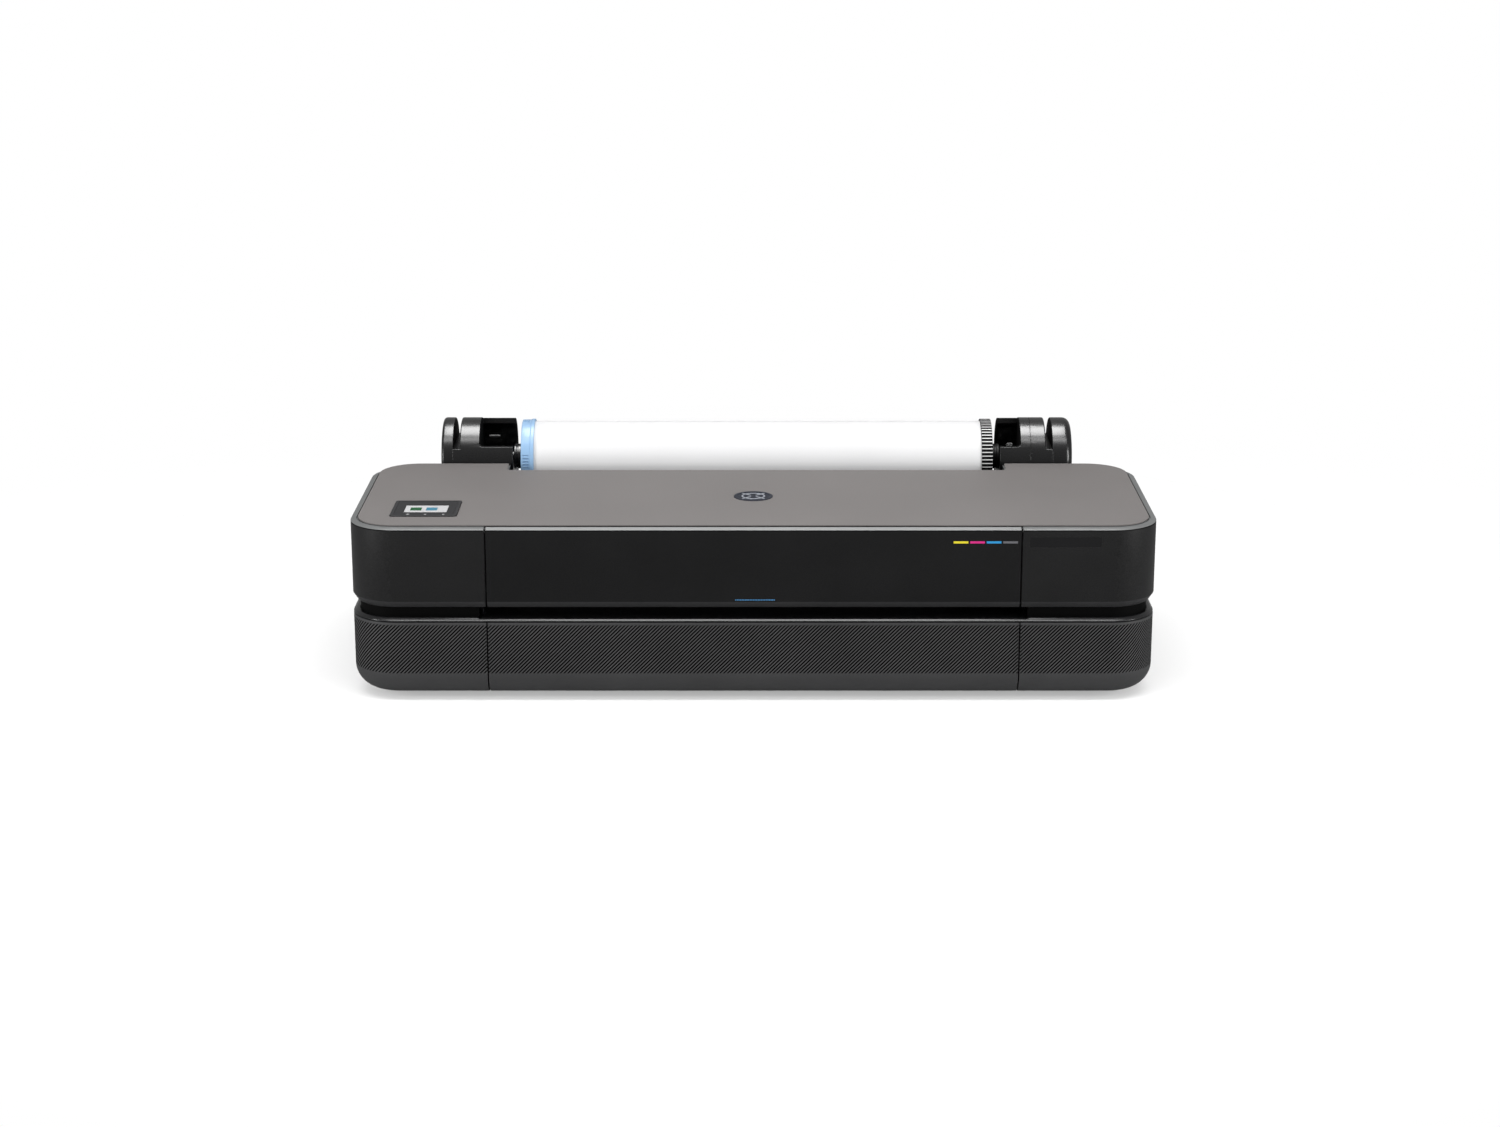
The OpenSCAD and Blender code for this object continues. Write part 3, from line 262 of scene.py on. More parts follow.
# ---------------------------------------------------------------- materials
class Nodes:
    """Short way to add nodes and links to one material."""

    def __init__(self, name):
        self.material = bpy.data.materials.new(name)
        self.material.use_nodes = True
        self.tree = self.material.node_tree
        self.bsdf = self.tree.nodes["Principled BSDF"]
        self.place = self.add("ShaderNodeTexCoord").outputs["Object"]

    def add(self, kind, **settings):
        node = self.tree.nodes.new(kind)
        for key, value in settings.items():
            setattr(node, key, value)
        return node

    def link(self, source, target):
        self.tree.links.new(source, target)

    def put(self, value, target):
        if isinstance(value, bpy.types.NodeSocket):
            self.link(value, target)
        else:
            target.default_value = value

    def noise(self, scale, detail=2.0, rough=0.5, stretch=None):
        node = self.add("ShaderNodeTexNoise")
        place = self.place
        if stretch:
            mapping = self.add("ShaderNodeMapping")
            mapping.inputs["Scale"].default_value = stretch
            self.link(place, mapping.inputs["Vector"])
            place = mapping.outputs["Vector"]
        self.link(place, node.inputs["Vector"])
        node.inputs["Scale"].default_value = scale
        node.inputs["Detail"].default_value = detail
        node.inputs["Roughness"].default_value = rough
        return node.outputs["Fac"]

    def math(self, operation, a, b=0.0, clamp=False):
        node = self.add("ShaderNodeMath", operation=operation, use_clamp=clamp)
        self.put(a, node.inputs[0])
        self.put(b, node.inputs[1])
        return node.outputs[0]

    def spread(self, value, low, high, a=0.25, b=0.75):
        """Maps value from a..b to low..high."""
        node = self.add("ShaderNodeMapRange")
        self.put(value, node.inputs["Value"])
        for key, number in (("From Min", a), ("From Max", b), ("To Min", low), ("To Max", high)):
            node.inputs[key].default_value = number
        return node.outputs["Result"]

    def mix(self, factor, a, b):
        node = self.add("ShaderNodeMix", data_type="RGBA")
        self.put(factor, node.inputs["Factor"])
        for value, socket in ((a, node.inputs[6]), (b, node.inputs[7])):
            self.put(value if isinstance(value, bpy.types.NodeSocket) else (*value, 1.0), socket)
        return node.outputs[2]

    def scaled(self, colour, factor):
        """Colour times a factor; either may be a socket."""
        node = self.add("ShaderNodeVectorMath", operation="SCALE")
        self.put(colour, node.inputs[0])
        self.put(factor, node.inputs["Scale"])
        return node.outputs[0]

    def bump(self, height, distance, strength=1.0, normal=None):
        node = self.add("ShaderNodeBump")
        self.put(strength, node.inputs["Strength"])
        node.inputs["Distance"].default_value = distance
        self.link(height, node.inputs["Height"])
        if normal is not None:
            self.link(normal, node.inputs["Normal"])
        return node.outputs["Normal"]


ROUGH_CHANGE = 0.16


def look(name, base, rough, metal=0.0, specular=0.5, grain=(1400, 0.03), blotch=(14, 0.10),
         speck=0.10, wear=0.25, edge=0.6, coat=0.0, brushed=None, pattern=None):
    """Material with broad colour variation, fine grain in colour, roughness and bump, and worn edges.
    grain is (noise scale, height in mm), blotch is (noise scale, colour change), and edge is the
    rounding of edges in mm."""
    n = Nodes(name)
    broad = n.noise(blotch[0], 4.0)
    fine = n.noise(grain[0], 2.0, 0.6, stretch=brushed)
    factor = n.math("MULTIPLY", n.spread(broad, 1 - blotch[1], 1 + blotch[1]),
                    n.spread(fine, 1 - speck, 1 + speck))
    colour = n.scaled(base, factor)
    if pattern:
        colour = n.scaled(colour, n.spread(pattern(n), 1.0, pattern.depth, 0.0, 1.0))
    soft = n.add("ShaderNodeBevel", samples=4)
    soft.inputs["Radius"].default_value = edge * MM
    if wear:
        flat = n.add("ShaderNodeNewGeometry").outputs["Normal"]
        dot = n.add("ShaderNodeVectorMath", operation="DOT_PRODUCT")
        n.link(soft.outputs[0], dot.inputs[0])
        n.link(flat, dot.inputs[1])
        at_edge = n.spread(dot.outputs["Value"], 1.0, 0.0, 0.72, 0.985)
        worn = n.math("MULTIPLY", at_edge, n.spread(n.noise(60, 3.0), 0.0, wear, 0.35, 0.65), clamp=True)
        lighter = [min(1.0, c * 1.9 + 0.03) for c in base]
        colour = n.mix(worn, colour, lighter)
    n.link(colour, n.bsdf.inputs["Base Color"])
    both = n.math("ADD", n.math("MULTIPLY", broad, 0.5), n.math("MULTIPLY", fine, 0.5))
    n.link(n.math("ADD", rough - 0.5 * ROUGH_CHANGE, n.math("MULTIPLY", both, ROUGH_CHANGE)),
           n.bsdf.inputs["Roughness"])
    height = fine
    if pattern:
        height = n.math("ADD", fine, n.math("MULTIPLY", pattern(n), pattern.height))
    n.link(n.bump(height, grain[1] * MM, 1.0, soft.outputs[0]), n.bsdf.inputs["Normal"])
    n.bsdf.inputs["Metallic"].default_value = metal
    n.bsdf.inputs["Specular IOR Level"].default_value = specular
    n.bsdf.inputs["Coat Weight"].default_value = coat
    n.bsdf.inputs["Coat Roughness"].default_value = 0.12
    return n.material


WEAVE_SCALE = 130.0
TURNS_SCALE = 5200.0


def dotted(n):
    """Fine woven dots of the top plate."""
    place = n.add("ShaderNodeMapping")
    place.inputs["Rotation"].default_value = (0, 0, math.radians(45))
    n.link(n.place, place.inputs["Vector"])
    waves = []
    for direction in ("X", "Y"):
        wave = n.add("ShaderNodeTexWave", bands_direction=direction)
        n.link(place.outputs["Vector"], wave.inputs["Vector"])
        wave.inputs["Scale"].default_value = WEAVE_SCALE
        waves.append(wave.outputs["Fac"])
    return n.math("MULTIPLY", *waves)


dotted.depth, dotted.height = 0.78, -3.0


def paper_turns(n):
    """Turns of paper or card, seen on the roll's ends as fine rings about its axis."""
    split = n.add("ShaderNodeSeparateXYZ")
    n.link(n.place, split.inputs[0])
    y = n.math("SUBTRACT", split.outputs["Y"], AXIS_Y)
    z = n.math("SUBTRACT", split.outputs["Z"], AXIS_Z)
    radius = n.math("SQRT", n.math("ADD", n.math("MULTIPLY", y, y), n.math("MULTIPLY", z, z)))
    return n.math("SINE", n.math("MULTIPLY", radius, TURNS_SCALE))


paper_turns.depth, paper_turns.height = 0.93, 0.3

LOOKS = {
    "ribbed_shell": dict(base=(.035, .035, .036), rough=.50, specular=.16, grain=(1700, .02), speck=.15,
                         edge=.3),
    # Lighter copy of the ribbed shell for the ribs' ridges (painted light) and near-black copy for their slopes
    # and valleys (painted shade).
    "rib_ridge_painted_light": dict(base=(.05, .05, .051), rough=.5, specular=.16, grain=(1700, .02), speck=.15, edge=.3),
    "rib_valley_painted_shade": dict(base=(.0016, .0016, .0017), rough=.6, specular=.04, grain=(1700, .02), edge=.2,
                       wear=0),
    "grained_shell": dict(base=(.0088, .0088, .0091), rough=.46, specular=.18, grain=(900, .05), speck=.8,
                          edge=.7),
    "door_shell": dict(base=(.0068, .0068, .0071), rough=.50, specular=.13, grain=(900, .045), speck=.8,
                       edge=.6),
    # Lighter copy of the shell for the downward foot chamfer: painted light.
    "foot_painted_light": dict(base=(.023, .023, .024), rough=.5, specular=.16, grain=(1500, .03), speck=.4, edge=.7),
    "gloss_black": dict(base=(.005, .005, .0055), rough=.22, specular=.5, grain=(900, .006), speck=.1,
                        edge=1.1, wear=.1),
    # Near black for seams, the waist groove and faces across the support slots: painted shade.
    "painted_shade_black": dict(base=(.0012, .0012, .0012), rough=.7, specular=.05, grain=(900, .01), edge=.2,
                         wear=0),
    "plate_grey": dict(base=(.150, .139, .135), rough=.58, specular=.20, grain=(1100, .012), blotch=(6, .05),
                       speck=.06, pattern=dotted, wear=.1),
    # Mid-grey for the upward faces of the black shell's rim round the plate: painted light.
    "rim_painted_light": dict(base=(.118, .122, .122), rough=.40, specular=.25, grain=(1300, .01), speck=.06, wear=.1),
    "emblem_finish": dict(base=(.006, .009, .020), rough=.35, specular=.06, grain=(700, .004), speck=.06),
    "emblem_inlay": dict(base=(.30, .32, .36), rough=.3, metal=.4, specular=.3, grain=(700, .004), speck=.06),
    "badge_finish": dict(base=(.0075, .0075, .0080), rough=.42, specular=.13, grain=(900, .006)),
    "bezel_grey": dict(base=(.023, .023, .025), rough=.5, specular=.12, grain=(1300, .008)),
    "screen_glass": dict(base=(.019, .019, .021), rough=.45, specular=.10, grain=(400, .002), wear=0),
    "screen_green": dict(base=(.006, .085, .026), rough=.4, specular=.1, grain=(2500, .002), wear=0),
    "screen_blue": dict(base=(.045, .19, .28), rough=.4, specular=.1, grain=(2500, .002), wear=0),
    "screen_white": dict(base=(.50, .50, .51), rough=.4, specular=.1, grain=(2500, .002), speck=.03, wear=0),
    "foot_rubber": dict(base=(.016, .016, .016), rough=.78, grain=(1900, .05), speck=.3),
    "socket_black": dict(base=(.022, .022, .023), rough=.4, grain=(1300, .01)),
    "black_steel": dict(base=(.03, .03, .032), rough=.36, metal=.8, grain=(900, .008)),
    "sheet_steel": dict(base=(.50, .51, .52), rough=.34, metal=.95, grain=(260, .01), blotch=(30, .16),
                        speck=.12),
    "bright_steel": dict(base=(.70, .71, .73), rough=.18, metal=1.0, grain=(900, .004), brushed=(1, 12, 12)),
    "moulded_black": dict(base=(.017, .017, .018), rough=.52, grain=(1400, .03), speck=.25),
    "moulded_grey": dict(base=(.075, .078, .083), rough=.5, grain=(1300, .02), speck=.15),
    "motor_case": dict(base=(.26, .27, .28), rough=.36, metal=.85, grain=(700, .01)),
    "belt_rubber": dict(base=(.012, .012, .012), rough=.7, grain=(600, .08), speck=.2),
    "clear_tube": dict(base=(.45, .45, .45), rough=.22, coat=.3, grain=(600, .004)),
    "drawn_aluminium": dict(base=(.58, .59, .6), rough=.3, metal=.95, grain=(900, .006), brushed=(.6, 14, 14)),
    "board_green": dict(base=(.018, .13, .06), rough=.35, grain=(320, .03), speck=.35, blotch=(90, .3)),
    "strip_blue": dict(base=(.045, .20, .42), rough=.3, grain=(1500, .01)),
    "mark_ink": dict(base=(.10, .10, .11), rough=.4, grain=(1500, .004)),
    "button_black": dict(base=(.02, .02, .022), rough=.3, grain=(1200, .006)),
    "printhead_grey": dict(base=(.06, .06, .068), rough=.4, grain=(1100, .015)),
    "brass_gear": dict(base=(.62, .43, .17), rough=.28, metal=1.0, grain=(800, .006)),
    "roller_rubber": dict(base=(.035, .035, .036), rough=.72, grain=(1500, .06), speck=.3),
    "gear_nylon": dict(base=(.66, .63, .54), rough=.42, grain=(1200, .01)),
    "cap_rubber": dict(base=(.08, .085, .095), rough=.66, grain=(1400, .03)),
    "ink_yellow": dict(base=(.56, .47, .01), rough=.36, grain=(1200, .01)),
    "ink_magenta": dict(base=(.50, .008, .16), rough=.36, grain=(1200, .01)),
    "ink_cyan": dict(base=(.010, .22, .48), rough=.36, grain=(1200, .01)),
    "ink_black": dict(base=(.05, .05, .053), rough=.36, grain=(1200, .01)),
    "spindle_black": dict(base=(.010, .010, .011), rough=.26, grain=(900, .006), edge=.8),
    "support_satin": dict(base=(.003, .003, .0033), rough=.27, specular=.48, grain=(1600, .010), speck=.3,
                          edge=.8, wear=.3),
    "flange_blue": dict(base=(.24, .39, .58), rough=.32, specular=.30, grain=(1100, .01), blotch=(20, .05),
                        speck=.04, wear=.2),
    "flange_black": dict(base=(.003, .003, .0033), rough=.5, specular=.12, grain=(1200, .015), wear=.2),
    # Light grey for the right flange's rib crests: painted highlight.
    "rib_crest_painted_highlight": dict(base=(.60, .60, .60), rough=.4, grain=(1200, .01), speck=.05, wear=0),
    "core_card": dict(base=(.42, .28, .15), rough=.8, grain=(700, .08), speck=.25, pattern=paper_turns),
    "paper_white": dict(base=(.65, .65, .655), rough=.62, specular=.15, grain=(1300, .012), speck=.02,
                        blotch=(10, .015), pattern=paper_turns, wear=0),
}
SHARP = 32  # degrees between faces from which an edge stays sharp
_made = {}


def material(name):
    """The material of that name, made when first asked for."""
    if name not in _made:
        _made[name] = look(name, **LOOKS[name])
    return _made[name]


def dress(obj, slot, bevel=0.0):
    """Gives a piece its material, smooth shading and, if asked, bevelled edges (in mm).
    A painted piece keeps its materials, with no slot given."""
    if slot:
        obj.data.materials.clear()
        obj.data.materials.append(material(slot))
    obj.data.polygons.foreach_set("use_smooth", [True] * len(obj.data.polygons))
    if bevel:
        mod = obj.modifiers.new("soft_edges", "BEVEL")
        mod.width, mod.segments, mod.angle_limit = bevel * MM, 2, math.radians(SHARP)
        mod.limit_method = "ANGLE"
        normals = obj.modifiers.new("even_normals", "WEIGHTED_NORMAL")
        normals.keep_sharp = False


def piece(obj, body, slot, node, bevel=0.0, sharp=SHARP, finish=None):
    """Finishes one Blender-made piece, which stands for a CAD node and rides on its body."""
    painted = len(obj.data.materials) > 1
    dress(obj, None if painted else finish or slot, bevel)
    if not bevel:
        obj.data.set_sharp_from_angle(angle=math.radians(sharp))
    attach(obj, body)
    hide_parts(node)


# ---------------------------------------------------------------- lower body with its diagonal ribs
RIB_PITCH = 4.77 * MM
RIB_DEPTH = 1.0 * MM
RIB_AT = (0.0, 2.1 * MM, 2.6 * MM, 4.3 * MM)
RIB_Z = (38 * MM, 101 * MM)
ROLL_UNDER = 36 * MM
UNDER_STEPS, RIB_STEPS = 11, 14
STAND_HOLES = [(x, y) for x in (-0.38, 0.38) for y in (-0.12, 0.12)]


def rib_columns(plan):
    """Arc lengths of four columns to a rib, and how deep each lies below the ridges."""
    length = outline_length(*plan)
    ribs = round(length / RIB_PITCH)
    pitch = length / ribs
    base = (np.arange(ribs)[:, None] * pitch + np.array(RIB_AT) * pitch / RIB_PITCH).ravel()
    return base, np.tile([0.0, 0.0, RIB_DEPTH, RIB_DEPTH], ribs)


def ribbed_skin(plan):
    """Outside of the lower body: rolled-under bottom, leaning ribs with painted light on their ridges and
    painted shade in their valleys, and a plain top edge.
    """
    base, groove = rib_columns(plan)
    rings = []

    def row(inset, z, ribs=0.0):
        lean = min(max(z, RIB_Z[0]), RIB_Z[1]) - RIB_Z[0]
        rings.append(ring(outline_at(*plan, base + lean), inset + groove * ribs, z))

    floor_z, under_top = LOWER_LO.z, RIB_Z[0] - 1.5 * MM
    for k in range(UNDER_STEPS):
        a = math.pi / 2 * (1 - k / (UNDER_STEPS - 1))
        rise = (under_top - floor_z) * (1 - math.sin(a) ** 1.08)
        row(ROLL_UNDER * (1 - math.cos(a) ** 0.86), floor_z + rise)
    for k in range(RIB_STEPS + 1):
        t = k / RIB_STEPS
        fade = min(1.0, t * RIB_STEPS, (1 - t) * RIB_STEPS / 0.6)
        row(0.0, RIB_Z[0] + (RIB_Z[1] - RIB_Z[0]) * t, fade)
    row(0.0, RIB_Z[1] + 0.4 * MM)
    row(0.0, LOWER_HI.z - 0.8 * MM)
    row(0.25 * MM, LOWER_HI.z - 0.25 * MM)
    row(0.8 * MM, LOWER_HI.z)
    shell = loft("lower_housing_shell", rings)
    # Rib faces get lit and shaded copies of the shell: ridge tops painted light, slopes and valleys painted
    # shade.
    for name in ("ribbed_shell", "rib_valley_painted_shade", "rib_ridge_painted_light"):
        shell.data.materials.append(material(name))
    columns = len(base)
    for k, face in enumerate(shell.data.polygons[:(len(rings) - 1) * columns]):
        if UNDER_STEPS <= k // columns < UNDER_STEPS + RIB_STEPS:
            # Ridge tops get painted light; slopes and valley floors get painted shade.
            face.material_index = 1 if k % 4 else 2
    return shell


def hollow(plan):
    """Cutter for the space inside the lower body's wall, open at the top."""
    plain = outline_at(*plan, outline_columns(*plan, corner_steps=16, side_steps=1))
    floor_z = LOWER_LO.z
    rings = []
    for k in range(7):
        a = math.pi / 2 * (1 - k / 6)
        rings.append(ring(plain, WALL + ROLL_UNDER * (1 - math.cos(a)),
                          floor_z + WALL + (RIB_Z[0] + OVER - floor_z - WALL) * (1 - math.sin(a))))
    rings.append(ring(plain, WALL, LOWER_HI.z + OVER))
    return loft("hollow", rings)


def lower_body():
    """Ribbed shell with its stand bosses, and the front panel cut out of it between two seams."""
    plan = (-HALF_W, HALF_W, FRONT, LOWER_HI.y, CORNER_R)
    floor_z = LOWER_LO.z
    shell = ribbed_skin(plan)
    boolean(shell, hollow(plan))
    for centre in STAND_HOLES:
        boss = prism_z("boss", disc(centre, 7 * MM, 32), floor_z + WALL / 2, floor_z + 23 * MM)
        boolean(shell, boss, "UNION")
        boolean(shell, prism_z("hole", disc(centre, 2.5 * MM, 32), floor_z - OVER, floor_z + 20 * MM))

    panel = copy_of(shell, "lower_front_panel_skin")
    depth, top = PANEL_HI.y, LOWER_HI.z + OVER
    gap = 0.85 * MM
    near, far = SEAM_X - gap, SEAM_X + gap
    boolean(panel, block("part", (-near, near), (FRONT - OVER, depth), (0, top)), "INTERSECT")
    boolean(shell, block("part", (-far, far), (FRONT - OVER, depth + gap), (0, top)))
    for side in (-1, 1):
        x, half = side * SEAM_X, 2.6 * MM
        notch = np.array([(x - half, floor_z - OVER), (x + half, floor_z - OVER), (x, floor_z + 7 * MM)])
        for target in (panel, shell):
            boolean(target, prism_y("notch", notch, FRONT - OVER, depth - 12 * MM))
    piece(shell, "chassis", "ribbed_shell", "lower_housing", sharp=50)
    piece(panel, "chassis", "ribbed_shell", "lower_front_panel", sharp=50)


# ---------------------------------------------------------------- trim round the exit slot
TRIM_FLOOR_Y = -140 * MM


def exit_trim():
    """Rim round the waist with a chamfered top edge, the slot's floor, and the dip in front of it."""
    plan = (-HALF_W, HALF_W, FRONT, WING_REAR, CORNER_R)
    columns = outline_at(*plan, outline_columns(*plan))
    bottom, top = TRIM_LO.z + 0.05 * MM, TRIM_HI.z
    section = [(2.6, bottom), (2.6, top - 4.5 * MM), (0.5, top - 4.4 * MM), (0.25, top - 4.1 * MM),
               (0.25, top - 3.5 * MM), (0.7, top - 3.1 * MM), (3.4, top - 0.4 * MM), (4.2, top), (8.3, top),
               (8.5, top - 0.2 * MM), (8.5, bottom)]
    trim = loft("exit_trim_rim", [ring(columns, inset * MM, z) for inset, z in section], closed=True)
    behind = (WING_REAR - 14 * MM, WING_REAR + OVER)
    boolean(trim, block("back", (-1, 1), behind, (bottom - OVER, top + OVER)))
    floor_top, half = top - 1.5 * MM, SLOT_HALF
    boolean(trim, block("floor", (-half + 3 * MM, half - 3 * MM), (FRONT + 8 * MM, TRIM_FLOOR_Y),
                        (bottom + 1 * MM, floor_top)), "UNION")
    wide = half + 4 * MM
    dip = np.array([(-half, floor_top), (half, floor_top), (wide, top + OVER), (-wide, top + OVER)])
    boolean(trim, prism_y("lip", dip, FRONT - OVER, FRONT + 20 * MM))
    piece(trim, "chassis", "gloss_black", "exit_trim", sharp=20)


# ---------------------------------------------------------------- upper housing
RECESS_X = (-327 * MM, 336 * MM)
MID_REAR = 77 * MM
RIM_GROOVE = [(0, RIM_Z - 1.6 * MM), (0.15, RIM_Z - 1.45 * MM), (0.8, RIM_Z - 1.4 * MM),
              (0.8, RIM_Z - 0.6 * MM), (0.15, RIM_Z - 0.5 * MM), (0.05, RIM_Z - 0.1 * MM),
              (0.6, RIM_Z + 0.15 * MM)]
# Materials for painted light on the rim and the foot chamfer, and painted shade in the seam lines.
SKIN_LIGHT_AND_SHADE_SLOTS = ("rim_painted_light", "painted_shade_black", "foot_painted_light")


def skin_light_and_shade_rule(centre, normal):
    """Skins have a rim round the plate painted lighter as painted light, between two lines painted near black
    as painted shade, and a lighter chamfer at the foot as painted light.
    """
    z = centre.z
    # Downward faces of the foot chamfer: painted light.
    if UPPER_Z + 0.4 * MM < z < UPPER_Z + FOOT_H and -0.9 < normal.z < -0.2:
        return 3
    # Upward faces of the rim round the plate: painted light.
    if RIM_Z - 0.4 * MM < z < DECK_Z + 0.4 * MM and normal.z > 0.05:
        return 1
    # Groove under the rim and seam beside the plate: painted shade, near black.
    in_line = RIM_Z - 1.5 * MM < z < RIM_Z - 0.5 * MM
    seam_wall = DECK_Z - 1.7 * MM < z < DECK_Z - 0.6 * MM and abs(normal.z) < 0.5
    seam_floor = abs(z - DECK_Z + 1.6 * MM) < 0.1 * MM
    return 2 if in_line or seam_wall or seam_floor else 0


def waist_ring(columns):
    """Wall at the back of the waist groove, painted near black as painted shade, open at the exit slot and at
    the roll's recess.
    """
    low, high = UPPER_LO.z, UPPER_Z
    waist = loft("upper_housing_waist", [ring(columns, inset * MM, z) for inset, z in
                                         ((9, low), (9, high), (11.8, high), (11.8, low))], closed=True)
    tall = (low - OVER, high + OVER)
    boolean(waist, block("slot", (-SLOT_HALF, SLOT_HALF), (FRONT - OVER, FRONT + 20 * MM), tall))
    boolean(waist, block("recess", RECESS_X, (MID_REAR, WING_REAR + OVER), tall))
    return waist


def upper_housing():
    """Skin of the two wings and the rim round the plate, with walls, openings and the waist ring."""
    plan = (-HALF_W, HALF_W, FRONT, WING_REAR, CORNER_R)
    columns = outline_at(*plan, outline_columns(*plan))
    low, z0, deck = UPPER_LO.z, UPPER_Z, DECK_Z
    rim, foot = RIM_W / MM, FOOT_W / MM
    inside = [(30, deck - WALL), (14, deck - WALL), (4.5, RIM_Z - 3.4 * MM), (3, RIM_Z - 5.5 * MM),
              (3, z0 + FOOT_H + 1 * MM), (12, z0 + 4 * MM), (12, z0 + 0.4 * MM)]
    outside = [(12.4, z0), (foot + 0.5, z0), (foot - 0.2, z0 + 0.45 * MM), (0.25, z0 + FOOT_H - 0.5 * MM),
               (0, z0 + FOOT_H)]
    above = [(rim - 0.5, deck - 0.05 * MM), (rim, deck - 0.1 * MM), (rim + 0.25, deck - 0.5 * MM),
             (rim + 0.3, deck - 1.6 * MM), (rim + 3.4, deck - 1.6 * MM), (rim + 3.5, deck), (30, deck)]
    section = inside + outside + RIM_GROOVE + above
    shell = loft("upper_housing_shell", [ring(columns, inset * MM, z) for inset, z in section])
    walls = block("walls", (RECESS_X[0] - WALL, RECESS_X[1] + WALL), (MID_REAR - WALL, WING_REAR - 1 * MM),
                  (z0 + 0.6 * MM, deck - 1 * MM), r=6 * MM)
    boolean(shell, walls, "UNION")
    waist = waist_ring(columns)

    gap, tight = 1.5 * MM, 0.1 * MM
    far = SEAM_X + gap
    boolean(shell, block("door", (-far, far), (FRONT - OVER, FRONT + 15 * MM), (z0 - OVER, deck + OVER)))
    front, back, roof = FRONT + WALL, FRONT + 30 * MM, deck - WALL + 1 * MM
    profile = np.array([(front - 1 * MM, z0 + FOOT_H), (front - 1 * MM, RIM_Z - 3 * MM),
                        (FRONT + 12 * MM, roof), (back, roof), (back, z0 + 3 * MM),
                        (front + 4 * MM, z0 + 3 * MM)])
    for side in (-1, 1):
        inner = side * (SEAM_X + 0.7 * MM)
        boolean(shell, prism_x("end_wall", profile, *sorted((inner, inner + side * WALL))), "UNION")
    left, right = RECESS_X
    rear = WING_REAR + OVER
    recess = rounded([(left, MID_REAR), (right, MID_REAR), (right, rear), (left, rear)], [5 * MM, 5 * MM, 0, 0])
    boolean(shell, prism_z("recess", recess, low - OVER, deck + OVER))
    boolean(shell, block("entry", (left + OVER, right - OVER), (MID_REAR - 8 * MM, MID_REAR + OVER),
                         (low - OVER, z0 + 10 * MM)))
    boolean(shell, block("badge", (BADGE_LO.x - tight, BADGE_HI.x + tight), (FRONT - OVER, BADGE_HI.y),
                         (BADGE_LO.z - tight, BADGE_HI.z + tight)))
    boolean(shell, block("panel", (BEZEL_LO.x - gap, BEZEL_HI.x + gap), (BEZEL_LO.y - gap, BEZEL_HI.y + gap),
                         (deck - 6 * MM, deck + OVER), r=4 * MM))
    boolean(shell, rod("pin", (-SEAM_X - 12 * MM, SEAM_X + 12 * MM), 2.05 * MM, HINGE, 32))
    # Rim and foot chamfer get painted light, the seam lines painted shade.
    paint(shell, ("grained_shell",) + SKIN_LIGHT_AND_SHADE_SLOTS, skin_light_and_shade_rule)
    piece(shell, "chassis", "grained_shell", "upper_housing")
    # The waist wall is painted near black: painted shade in the waist groove.
    piece(waist, "chassis", "grained_shell", "upper_housing", finish="painted_shade_black")


# ---------------------------------------------------------------- door with its marks
def front_door():
    """Skin of the door with the same section as the wings, ribs behind it, and its hinge barrels."""
    z0, top = DOOR_LO.z, RIM_Z
    half = min(DOOR_HI.x, SEAM_X - 0.8 * MM)
    lip = RIM_W - 0.2 * MM
    lip_z = top + lip * ((DECK_Z - top) / RIM_W)
    section = [(FOOT_W + 0.5 * MM, z0), (FOOT_W - 0.2 * MM, z0 + 0.45 * MM),
               (0.25 * MM, z0 + FOOT_H - 0.5 * MM), (0, z0 + FOOT_H)]
    section += [(inset * MM, z) for inset, z in RIM_GROOVE]
    section += [(lip - 0.4 * MM, lip_z - 0.05 * MM), (lip, lip_z - 0.5 * MM), (lip, lip_z - 2.5 * MM),
                (WALL, top - 0.8 * MM - WALL / 3), (WALL, z0 + FOOT_H + 1 * MM), (8 * MM, z0 + 3 * MM),
                (8 * MM, z0)]
    door = prism_x("front_door_skin", np.array(section) + (FRONT, 0), -half, half)
    rib = np.array([(WALL - 1 * MM, z0 + FOOT_H - 1 * MM), (9 * MM, z0 + FOOT_H + 1 * MM),
                    (9 * MM, top - 8 * MM), (WALL - 1 * MM, top - 4 * MM)]) + (FRONT, 0)
    thick = 1.5 * MM
    for x in [-half + thick] + [i * 110 * MM for i in range(-2, 3)] + [half - thick]:
        boolean(door, prism_x("rib", rib, x - thick * 0.98, x + thick * 0.98), "UNION")
    for side in (-1, 1):
        for name, reach, radius in (("barrel", half - 0.05 * MM, 4 * MM), ("pin", half + 9 * MM, 2 * MM)):
            boolean(door, rod(name, sorted((side * (half - 14 * MM), side * reach)), radius, HINGE), "UNION")
    tight = 0.1 * MM
    for low, high in [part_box("door_touch_strip")] + MARKS:
        boolean(door, block("pocket", (low.x - tight, high.x + tight), (FRONT - 1 * MM, high.y),
                            (low.z - tight, high.z + tight)))
    # Rim and foot chamfer get painted light, the seam lines painted shade.
    paint(door, ("door_shell",) + SKIN_LIGHT_AND_SHADE_SLOTS, skin_light_and_shade_rule)
    piece(door, "door", "door_shell", "front_door")


def mark_boxes():
    """The four ink marks, each as (low corner, high corner)."""
    low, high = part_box("ink_colour_marks")
    gap = 2.1 * MM
    width = (high.x - low.x - 3 * gap) / 4
    starts = [low.x + i * (width + gap) for i in range(4)]
    return [(Vector((x, low.y, low.z)), Vector((x + width, high.y, high.z))) for x in starts]


MARKS = mark_boxes()


